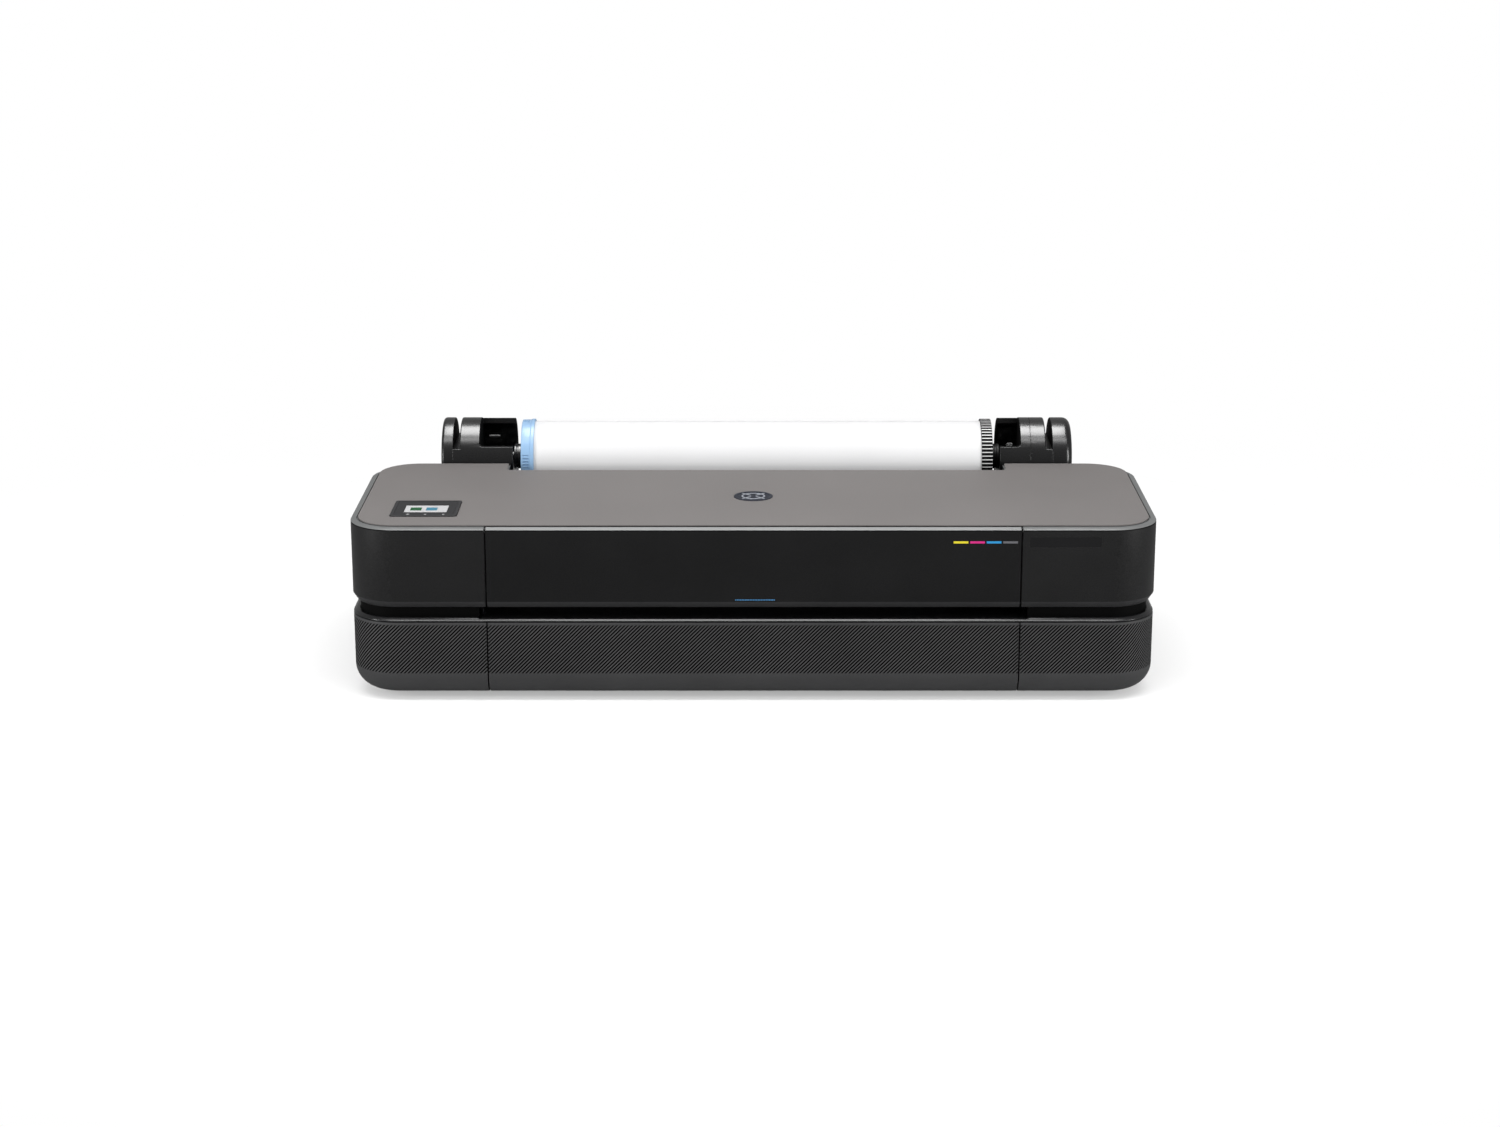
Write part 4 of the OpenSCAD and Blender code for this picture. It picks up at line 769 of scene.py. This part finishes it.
def ink_marks():
    for finish, (low, high) in zip(("ink_yellow", "ink_magenta", "ink_cyan", "mark_ink"), MARKS):
        bar = block("ink_mark_" + finish.split("_")[1], (low.x, high.x), (low.y, high.y), (low.z, high.z),
                    0.4 * MM)
        piece(bar, "door", "mark_ink", "ink_colour_marks", bevel=0.15, finish=finish)


def touch_strip():
    """Thin row of small raised bars at the door's bottom edge."""
    low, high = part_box("door_touch_strip")
    middle, half = (low.z + high.z) / 2, 0.65 * MM
    strip = block("door_touch_strip_base", (low.x, high.x), (low.y + 0.35 * MM, high.y), (low.z, high.z))
    step = 2 * MM
    for k in range(round((high.x - low.x) / step)):
        x = low.x + (k + 0.2) * step
        bar = block("bar", (x, x + 1.2 * MM), (low.y, low.y + 0.5 * MM), (middle - half, middle + half))
        boolean(strip, bar, "UNION")
    paint(strip, ("door_shell", "strip_blue"), lambda centre, normal: 1 if centre.y < low.y + 0.3 * MM else 0)
    piece(strip, "door", "strip_blue", "door_touch_strip")


# ---------------------------------------------------------------- top plate, emblem and control panel
EMBLEM = ((EMBLEM_LO.x + EMBLEM_HI.x) / 2, (EMBLEM_LO.y + EMBLEM_HI.y) / 2)
EMBLEM_R = EMBLEM_HI.x - EMBLEM[0]
MARK_RING = (15.2 * MM, 13.2 * MM)
MARK_TICK = ((5, -1.2), (20, -1.2), (20, 1.2), (5, 1.2))


def emblem():
    """Dark disc with an inlaid registration mark: a ring and a cross that stops short of its middle."""
    top = EMBLEM_HI.z
    base = prism_z("emblem_dark_disc", disc(EMBLEM, EMBLEM_R), EMBLEM_LO.z, top - 0.1 * MM)
    inlay = prism_z("emblem_mark", disc(EMBLEM, MARK_RING[0]), top - 0.6 * MM, top)
    boolean(inlay, prism_z("hole", disc(EMBLEM, MARK_RING[1]), top - 1 * MM, top + 1 * MM))
    for turn in range(4):
        a = math.radians(45 + 90 * turn)
        u, v = np.array([math.cos(a), math.sin(a)]), np.array([-math.sin(a), math.cos(a)])
        tick = np.array([EMBLEM + u * near * MM + v * side * MM for near, side in MARK_TICK])
        boolean(inlay, prism_z("tick", tick, top - 0.6 * MM, top), "UNION")
    boolean(base, prism_z("seat", disc(EMBLEM, 21 * MM), top - 0.35 * MM, top + 1 * MM))
    boolean(base, copy_of(inlay, "cut"))
    piece(base, "chassis", "emblem_finish", "emblem_disc", bevel=0.2)
    piece(inlay, "chassis", "emblem_finish", "emblem_disc", finish="emblem_inlay")


def screen_keys(glass, centre, top):
    """Two small raised dots to the right of the power button, in seats cut into the glass."""
    keys, radius = [], 1.5 * MM
    for number, offset in ((1, 22 * MM), (2, 45 * MM)):
        at = (centre[0] + offset, centre[1])
        boolean(glass, prism_z("key_seat", disc(at, radius + 0.1 * MM, 24), top - 0.3 * MM, top + 1 * MM))
        keys.append(prism_z("screen_key_%d" % number, disc(at, radius, 24), top - 0.3 * MM, top + 0.1 * MM))
    return keys


def control_panel():
    """Screen frame with a window, the lit display behind it, and small keys in front of it."""
    glass_lo, glass_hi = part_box("screen_glass")
    button_lo, button_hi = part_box("power_button")
    top = glass_hi.z
    through = (glass_lo.z - 1 * MM, top + 1 * MM)
    glass = block("screen_frame", (glass_lo.x, glass_hi.x), (glass_lo.y, glass_hi.y), (glass_lo.z, top),
                  3 * MM)
    x0, x1 = LCD_LO.x + 0.5 * MM, LCD_HI.x - 0.5 * MM
    y0, y1 = LCD_LO.y + 2.5 * MM, LCD_HI.y - 3.5 * MM
    boolean(glass, block("window", (x0, x1), (y0, y1), through, 1 * MM))
    centre = ((button_lo.x + button_hi.x) / 2, (button_lo.y + button_hi.y) / 2)
    boolean(glass, prism_z("hole", disc(centre, button_hi.x - centre[0] + 0.3 * MM), *through))
    keys = screen_keys(glass, centre, top)
    piece(glass, "chassis", "screen_glass", "screen_glass", bevel=0.2)
    for key in keys:
        piece(key, "chassis", "screen_white", "screen_module", bevel=0.1)
    lit = top - 0.35 * MM
    inset = 0.15 * MM
    display = block("screen_display", (x0 + inset, x1 - inset), (y0 + inset, y1 - inset), (LCD_LO.z, lit),
                    0.9 * MM)
    tiles = []
    for finish, start in (("screen_green", x0 + 7.2 * MM), ("screen_blue", x0 + 27.2 * MM)):
        tile = block(finish + "_tile", (start, start + 14 * MM), (y0 + 10 * MM, y1 - 10 * MM),
                     (lit - 0.3 * MM, lit + 0.12 * MM), 0.8 * MM)
        boolean(display, copy_of(tile, "cut"))
        tiles.append((tile, finish))
    piece(display, "chassis", "screen_white", "screen_module", bevel=0.1)
    for tile, finish in tiles:
        piece(tile, "chassis", "screen_white", "screen_module", bevel=0.05, finish=finish)


def power_button():
    """Round key with a dished top and a small light symbol on it."""
    low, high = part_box("power_button")
    centre = ((low.x + high.x) / 2, (low.y + high.y) / 2)
    r, top, skirt = high.x - centre[0], high.z, DECK_Z - 1 * MM
    profile = ((0.6, low.z), (0.6, skirt), (1, skirt), (1, top - 0.3 * MM), (0.93, top - 0.08 * MM),
               (0.84, top), (0.72, top - 0.08 * MM), (0.55, top - 0.16 * MM))
    key = loft("power_button_key", [np.column_stack([disc(centre, share * r, 48), np.full(48, z)])
                                    for share, z in profile])
    symbol = prism_z("power_button_symbol", disc(centre, 1.5 * MM, 24), top - 0.4 * MM, top - 0.1 * MM)
    boolean(key, prism_z("seat", disc(centre, 1.6 * MM, 24), top - 0.4 * MM, top + 1 * MM))
    piece(key, "power_key", "button_black", "power_button")
    piece(symbol, "power_key", "button_black", "power_button", finish="screen_white")


def top_plate():
    """Plate with a recess for the roll at its back, and openings for the control panel and the emblem."""
    side, front, back = PLATE_LO.x, PLATE_LO.y, PLATE_HI.y
    r = CORNER_R - (side + HALF_W)
    x0, x1 = RECESS_X[0] - 2 * MM, RECESS_X[1] + 2 * MM
    y_mid = MID_REAR - 2 * MM
    corners = [(side, front), (-side, front), (-side, back), (x1, back), (x1, y_mid), (x0, y_mid), (x0, back),
               (side, back)]
    shape = rounded(corners, [r, r, r, 3 * MM, 7 * MM, 7 * MM, 3 * MM, r], 16)
    plate = prism_z("top_plate_skin", shape, DECK_Z, PLATE_HI.z)
    gap = 0.5 * MM
    boolean(plate, block("panel", (BEZEL_LO.x - gap, BEZEL_HI.x + gap), (BEZEL_LO.y - gap, BEZEL_HI.y + gap),
                         (DECK_Z - 1 * MM, PLATE_HI.z + 1 * MM), r=4 * MM))
    boolean(plate, prism_z("seat", disc(EMBLEM, EMBLEM_R + 0.2 * MM), EMBLEM_LO.z, PLATE_HI.z + 1 * MM))
    piece(plate, "chassis", "plate_grey", "top_plate", bevel=0.35)


# ---------------------------------------------------------------- roll supports
SUPPORT_Y = (119 * MM, 204 * MM)
SUPPORT_R = CAPS_HI.z - AXIS_Z
REAR_DECK = SUP_L_LO.z
CRADLE_Z = 248.5 * MM
CRADLE_BACK = AXIS_Y + 20 * MM
TUB_WALL = 7 * MM
WEB_Z = AXIS_Z + 21 * MM
LEFT_CAP_X, RIGHT_CAP_X = CAPS_LO.x + 15.8 * MM, CAPS_HI.x - 27 * MM
LATCH_X = (-362 * MM, -347 * MM)
MOTOR_X = (359 * MM, 393 * MM)
MOTOR_R, MOTOR_DROP = 13.3 * MM, 28 * MM
SEAM_RING = (374.2 * MM, 375.2 * MM)
ROUND_STEPS = 7


def support_section(inset, steps=40):
    """Outline in (y, z) of a support: most of a circle standing on straight sides."""
    r = SUPPORT_R - inset
    front, back = SUPPORT_Y[0] + inset, SUPPORT_Y[1] - inset
    a0 = -math.acos((back - AXIS_Y) / r)
    a1 = math.pi + math.acos((AXIS_Y - front) / r)
    turn = np.linspace(a0, a1, steps)
    arc = np.column_stack([AXIS_Y + r * np.cos(turn), AXIS_Z + r * np.sin(turn)])
    return np.vstack([[(back, REAR_DECK)], arc, [(front, REAR_DECK)]])


def support_block(name, x0, x1, edges):
    """Support form between x0 and x1 with rounded ends; edges are the two rounding radii in mm."""
    sections = []
    way = 1 if x1 > x0 else -1
    for x, radius, sign in ((x0, edges[0], way), (x1, edges[1], -way)):
        part = []
        for k in range(ROUND_STEPS):
            a = math.pi / 2 * k / (ROUND_STEPS - 1)
            part.append((x + sign * radius * MM * (1 - math.sin(a)), radius * MM * (1 - math.cos(a))))
        sections += part[::-1] if sign == way else part
    outlines = [(x, support_section(inset)) for x, inset in sections]
    return loft(name, [np.column_stack([np.full(len(outline), x), outline]) for x, outline in outlines])


def window(side, x_in, x_tub):
    """Cutter for the opening over a tub, with one rounded corner beside the drum."""
    far = x_in - side * 30 * MM
    top = CRADLE_Z + 60 * MM
    outline = rounded([(far, CRADLE_Z), (x_tub, CRADLE_Z), (x_tub, top), (far, top)], [0, 5 * MM, 0, 0], 8)
    return prism_y("window", outline, AXIS_Y - 80 * MM, CRADLE_BACK)


def bush_wall(x):
    """Wall inside a tub with a notch, open at the top, for the spindle's bush."""
    notch = BUSH_HI.z - AXIS_Z + 0.3 * MM
    through = (x[0] - OVER, x[1] + OVER)
    wall = block("bush_wall", x, (AXIS_Y - 37 * MM, AXIS_Y + 37 * MM), (REAR_DECK + 2 * MM, AXIS_Z + 6 * MM))
    boolean(wall, rod("bore", through, notch))
    boolean(wall, block("way_in", through, (AXIS_Y - notch, AXIS_Y + notch), (AXIS_Z, AXIS_Z + 20 * MM)))
    return wall


def roll_support(side, name, x_in, x_tub, x_out, x_cap, bush_x):
    """One support with its tub and bush wall, and the low web across the slot to its cap."""
    body = support_block(name, x_in, x_out, (0.8, 1.6))
    hole = sorted((x_in - side * OVER, x_tub))
    boolean(body, rod("tub", hole, SUPPORT_R - TUB_WALL))
    boolean(body, block("well", hole, (AXIS_Y - 34 * MM, AXIS_Y + 34 * MM), (REAR_DECK + 4 * MM, AXIS_Z)))
    boolean(body, window(side, x_in, x_tub))
    boolean(body, bush_wall(bush_x), "UNION")
    web = support_block("web", x_out - side * 1.7 * MM, x_cap, (0.1, 0.1))
    boolean(web, block("above", (-1, 1), (0, 1), (WEB_Z, 1)))
    boolean(body, web, "UNION")
    return body


def latch(body):
    """Bar behind the spindle's left end, and the bracket that holds it."""
    y, z = AXIS_Y + 24 * MM, AXIS_Z + 22 * MM
    boolean(body, rod("latch", LATCH_X, 3.2 * MM, (y, z), 32), "UNION")
    boolean(body, block("bracket", LATCH_X, (y, y + 22 * MM), (z - 1.5 * MM, z + 1.5 * MM)), "UNION")


def roll_supports():
    """Both supports and their caps; faces across a slot are painted near black as painted shade, the rest is
    satin.
    """
    satin = ("support_satin", "painted_shade_black")
    left = roll_support(-1, "left_support_drum", SUP_L_HI.x, -370 * MM, -396.2 * MM, LEFT_CAP_X,
                        (-346 * MM, -342 * MM))
    latch(left)
    right = roll_support(1, "right_support_drum", SUP_R_LO.x, 361.5 * MM, 395 * MM, RIGHT_CAP_X,
                         (340 * MM, 344 * MM))
    boolean(right, rod("motor_bore", MOTOR_X, MOTOR_R, (AXIS_Y, AXIS_Z - MOTOR_DROP)))
    inner, outer = SUPPORT_R - 0.7 * MM, SUPPORT_R + OVER
    x0, x1 = SEAM_RING
    boolean(right, lathe("seam", [(x0, outer), (x0, inner), (x1, inner), (x1, outer)], 128))
    for drum, node in ((left, "left_roll_support"), (right, "right_roll_support")):
        # Faces along the axis, as across a slot, are painted near black: painted shade.
        paint(drum, satin, lambda at, normal: 1 if abs(normal.x) > 0.95 else 0)
        piece(drum, "chassis", "moulded_black", node, bevel=0.8)
    for name, x0, x1, rounding in (("left_support_cap", LEFT_CAP_X, CAPS_LO.x, 4),
                                   ("right_support_cap", RIGHT_CAP_X, CAPS_HI.x, 10)):
        cap = support_block(name, x0, x1, (1.2, rounding))
        # The cap's face across the slot is painted near black: painted shade.
        paint(cap, satin, lambda at, normal: 1 if abs(normal.x) > 0.9 and abs(at.x - x0) < 2 * MM else 0)
        piece(cap, "chassis", "moulded_black", "support_caps", sharp=50)


# ---------------------------------------------------------------- flanges
FLANGE_R = FLANGE_L_HI.z - AXIS_Z
PAPER_R = ROLL_HI.z - AXIS_Z
BORE_R = 7.2 * MM
NECK_R = 17 * MM
PLUG_R = 25.2 * MM
FLANGE_LIP = 2.4 * MM
NECK_W = 12 * MM
PLUG_W = 26 * MM
RIBS, PER_RIB = 64, (1.6, 1.6, 1.6, 1.6, 0.0, 0.0, 0.0, 1.6)


def grip_slots(rim, x0, x1):
    """Four groups of five narrow slots along the rim of the left flange."""
    shape = ((-1.4, -1.3), (1, -1.3), (1, 1.3), (-1.4, 1.3))
    for quarter in range(4):
        a = math.radians(90 * quarter - 4)
        out, along = np.array([math.cos(a), math.sin(a)]), np.array([-math.sin(a), math.cos(a)])
        for lane in range(-2, 3):
            spot = np.array([AXIS_Y, AXIS_Z]) + out * (FLANGE_R - 1 * MM) + along * lane * 4.2 * MM
            slot = rounded([spot + out * i * 1.2 * MM + along * j * 0.9 * MM for i, j in shape], 0)
            boolean(rim, prism_x("grip", slot, x0, x1))


def left_flange():
    """Blue flange with a lip beside the paper and a plug in the core, and its black grooved neck."""
    x0, end, r = FLANGE_L_LO.x, ROLL_LO.x, FLANGE_R
    neck_end, lip_x = x0 + NECK_W, end - FLANGE_LIP
    rim = lathe("left_flange_rim", [
        (neck_end, BORE_R), (neck_end, r - 2.2 * MM), (neck_end + 0.4 * MM, r - 1.3 * MM),
        (neck_end + 1.2 * MM, r - 1 * MM), (lip_x - 0.6 * MM, r - 1 * MM), (lip_x, r - 0.3 * MM),
        (lip_x + 0.4 * MM, r), (end + FLANGE_LIP - 0.4 * MM, r), (end + FLANGE_LIP, r - 0.4 * MM),
        (end + FLANGE_LIP, PAPER_R + 0.5 * MM), (end - 0.2 * MM, PAPER_R + 0.4 * MM),
        (end - 0.2 * MM, PLUG_R), (end + PLUG_W, PLUG_R), (end + PLUG_W, BORE_R)], 160)
    grip_slots(rim, neck_end + 2.6 * MM, lip_x - 2 * MM)
    piece(rim, "loading_flange", "flange_blue", "left_flange", sharp=30)
    groove_r = 15.6 * MM
    neck = lathe("left_flange_neck", [
        (x0, BORE_R), (x0, 16 * MM), (x0 + 1 * MM, NECK_R), (x0 + 3 * MM, NECK_R), (x0 + 3.6 * MM, groove_r),
        (x0 + 5.2 * MM, groove_r), (x0 + 5.8 * MM, NECK_R), (neck_end - 0.3 * MM, NECK_R),
        (neck_end - 0.05 * MM, 16.7 * MM), (neck_end - 0.05 * MM, BORE_R)], 96)
    piece(neck, "loading_flange", "flange_blue", "left_flange", finish="spindle_black")


def right_flange():
    """Black flange with ribs round its rim, their crests painted light grey as a painted highlight."""
    x1, end, r = FLANGE_R_HI.x, ROLL_HI.x, FLANGE_R
    rim_end, lip_x = x1 - NECK_W, end - FLANGE_LIP
    wheel = lathe("right_flange_rim", [
        (end + 0.2 * MM, BORE_R), (end + 0.2 * MM, PAPER_R + 0.4 * MM), (lip_x, PAPER_R + 0.4 * MM),
        (lip_x, r - 1.9 * MM), (lip_x + 0.3 * MM, r - 0.4 * MM, "ribbed"), (lip_x + 0.8 * MM, r, "ribbed"),
        (rim_end - 0.8 * MM, r, "ribbed"), (rim_end - 0.3 * MM, r - 0.4 * MM, "ribbed"),
        (rim_end, r - 2.2 * MM), (rim_end, NECK_R), (x1 - 7 * MM, NECK_R), (x1 - 6.5 * MM, 15.8 * MM),
        (x1 - 4.5 * MM, 15.8 * MM),
        (x1 - 4 * MM, NECK_R), (x1 - 1 * MM, NECK_R), (x1, 16 * MM), (x1, BORE_R)],
        RIBS * len(PER_RIB), ribs=np.tile(PER_RIB, RIBS) * MM)
    near, far = end - PLUG_W, end + 1 * MM
    boolean(wheel, lathe("plug", [(near, BORE_R), (near, PLUG_R), (far, PLUG_R), (far, BORE_R)], 96), "UNION")

    # Outermost rib faces get the painted highlight.
    def crest(centre, normal):
        away = math.hypot(centre.y - AXIS_Y, centre.z - AXIS_Z)
        return 1 if away > r - 0.25 * MM and centre.x < rim_end - 0.5 * MM else 0
    paint(wheel, ("flange_black", "rib_crest_painted_highlight"), crest)
    piece(wheel, "spindle", "flange_black", "right_flange", sharp=30)


lower_body()
exit_trim()
upper_housing()
front_door()
touch_strip()
ink_marks()
top_plate()
emblem()
control_panel()
power_button()
roll_supports()
left_flange()
right_flange()

# ---------------------------------------------------------------- CAD nodes that are shown as they are
SLOTS = {part["node"]: part["material_slot"] for part in frame["record"]["subparts"]}
USUAL_BEVEL = .35
OTHER_BEVEL = {"ink_tubes": 0, "carriage_belt": 0, "feed_pinion": .1, "main_board": .1, "name_badge": .1,
               "roll_drive_gear": .12, "spindle_shaft": .12, "feed_gear": .15, "housing_screws": .15,
               "rear_connectors": .25, "slider_rod": .4, "cap_sled": .4}
for node, obj in frame["nodes"].items():
    if obj.hide_render:
        continue
    if "custom_normal" in obj.data.attributes:
        obj.data.attributes.remove(obj.data.attributes["custom_normal"])
    weld = obj.modifiers.new("weld", "WELD")
    weld.merge_threshold = 0.005 * MM
    dress(obj, SLOTS[node], OTHER_BEVEL.get(node, USUAL_BEVEL))


# ---------------------------------------------------------------- floor, light and camera
def pale_floor():
    """Large floor that is greyer in reflections and fades out away from the object."""
    side, z = 4.0, -0.0004
    corners = [(-side, -side, z), (side, -side, z), (side, side, z), (-side, side, z)]
    floor = make_object("studio_floor", corners, [(0, 1, 2, 3)])
    n = Nodes("studio_floor")
    pale = n.scaled((.95, .95, .95), n.spread(n.noise(3, 3.0), .99, 1.0))
    rays = n.add("ShaderNodeLightPath")
    n.link(n.mix(rays.outputs["Is Glossy Ray"], pale, (.30, .30, .30)), n.bsdf.inputs["Base Color"])
    n.bsdf.inputs["Roughness"].default_value = 0.9
    n.bsdf.inputs["Specular IOR Level"].default_value = 0.0
    clear = n.add("ShaderNodeBsdfTransparent")
    fade = n.add("ShaderNodeMixShader")
    away = n.add("ShaderNodeVectorMath", operation="LENGTH")
    n.link(n.place, away.inputs[0])
    n.link(n.spread(away.outputs["Value"], 0.35, 1.0, 0.6, 1.5), fade.inputs[0])
    n.link(n.bsdf.outputs[0], fade.inputs[1])
    n.link(clear.outputs[0], fade.inputs[2])
    n.link(fade.outputs[0], n.tree.nodes["Material Output"].inputs["Surface"])
    floor.data.materials.append(n.material)


def area_light(name, place, target, size, power, sheen_only=False):
    data = bpy.data.lights.new(name, "AREA")
    data.shape, data.size, data.size_y = "RECTANGLE", size[0], size[1]
    data.energy = power
    lamp = bpy.data.objects.new(name, data)
    lamp.location = place
    lamp.visible_diffuse = not sheen_only
    lamp.rotation_euler = (Vector(target) - Vector(place)).to_track_quat("-Z", "Y").to_euler()
    bpy.context.scene.collection.objects.link(lamp)


def studio_air(seen, mirrored, otherwise):
    """White world with one level for the camera, one for reflections and one for all other light."""
    world = bpy.data.worlds.new("studio_air")
    bpy.context.scene.world = world
    world.use_nodes = True
    nodes, link = world.node_tree.nodes, world.node_tree.links.new
    nodes["Background"].inputs["Color"].default_value = (1, 1, 1, 1)
    rays = nodes.new("ShaderNodeLightPath")
    reflected, direct = (nodes.new("ShaderNodeMix") for _ in range(2))
    reflected.inputs[2].default_value, reflected.inputs[3].default_value = otherwise, mirrored
    direct.inputs[3].default_value = seen
    link(rays.outputs["Is Glossy Ray"], reflected.inputs[0])
    link(reflected.outputs[0], direct.inputs[2])
    link(rays.outputs["Is Camera Ray"], direct.inputs[0])
    link(direct.outputs[0], nodes["Background"].inputs["Strength"])


def photo_camera(place, tilt, lens):
    """Camera at the photo's viewing angle: tilt is in degrees below level."""
    camera = bpy.data.objects.new("photo_camera", bpy.data.cameras.new("photo_camera"))
    camera.data.sensor_width, camera.data.lens = 36.0, lens
    camera.data.clip_end = 60
    camera.location = place
    camera.rotation_euler = (math.radians(90 - tilt), 0, 0)
    bpy.context.scene.collection.objects.link(camera)
    bpy.context.scene.camera = camera


pale_floor()
area_light("overhead_softbox", (0, -0.85, 2.2), (0, 0.05, 0), (3.2, 0.42), 40)
area_light("sheen_softbox", (0, 0.3, 2.2), (0, 0.15, 0.2), (1.8, 1.2), 130, sheen_only=True)
for name, side in (("left_strip", -1), ("right_strip", 1)):
    area_light(name, (side * 1.9, -1.05, 0.5), (side * 0.5, -0.15, 0.15), (0.4, 1.0), 22)
studio_air(seen=1.0, mirrored=0.35, otherwise=0.72)
photo_camera((-0.0043, -3.67637, 1.15414), 15.72, 69.375)
bpy.context.scene.view_settings.view_transform = "Standard"
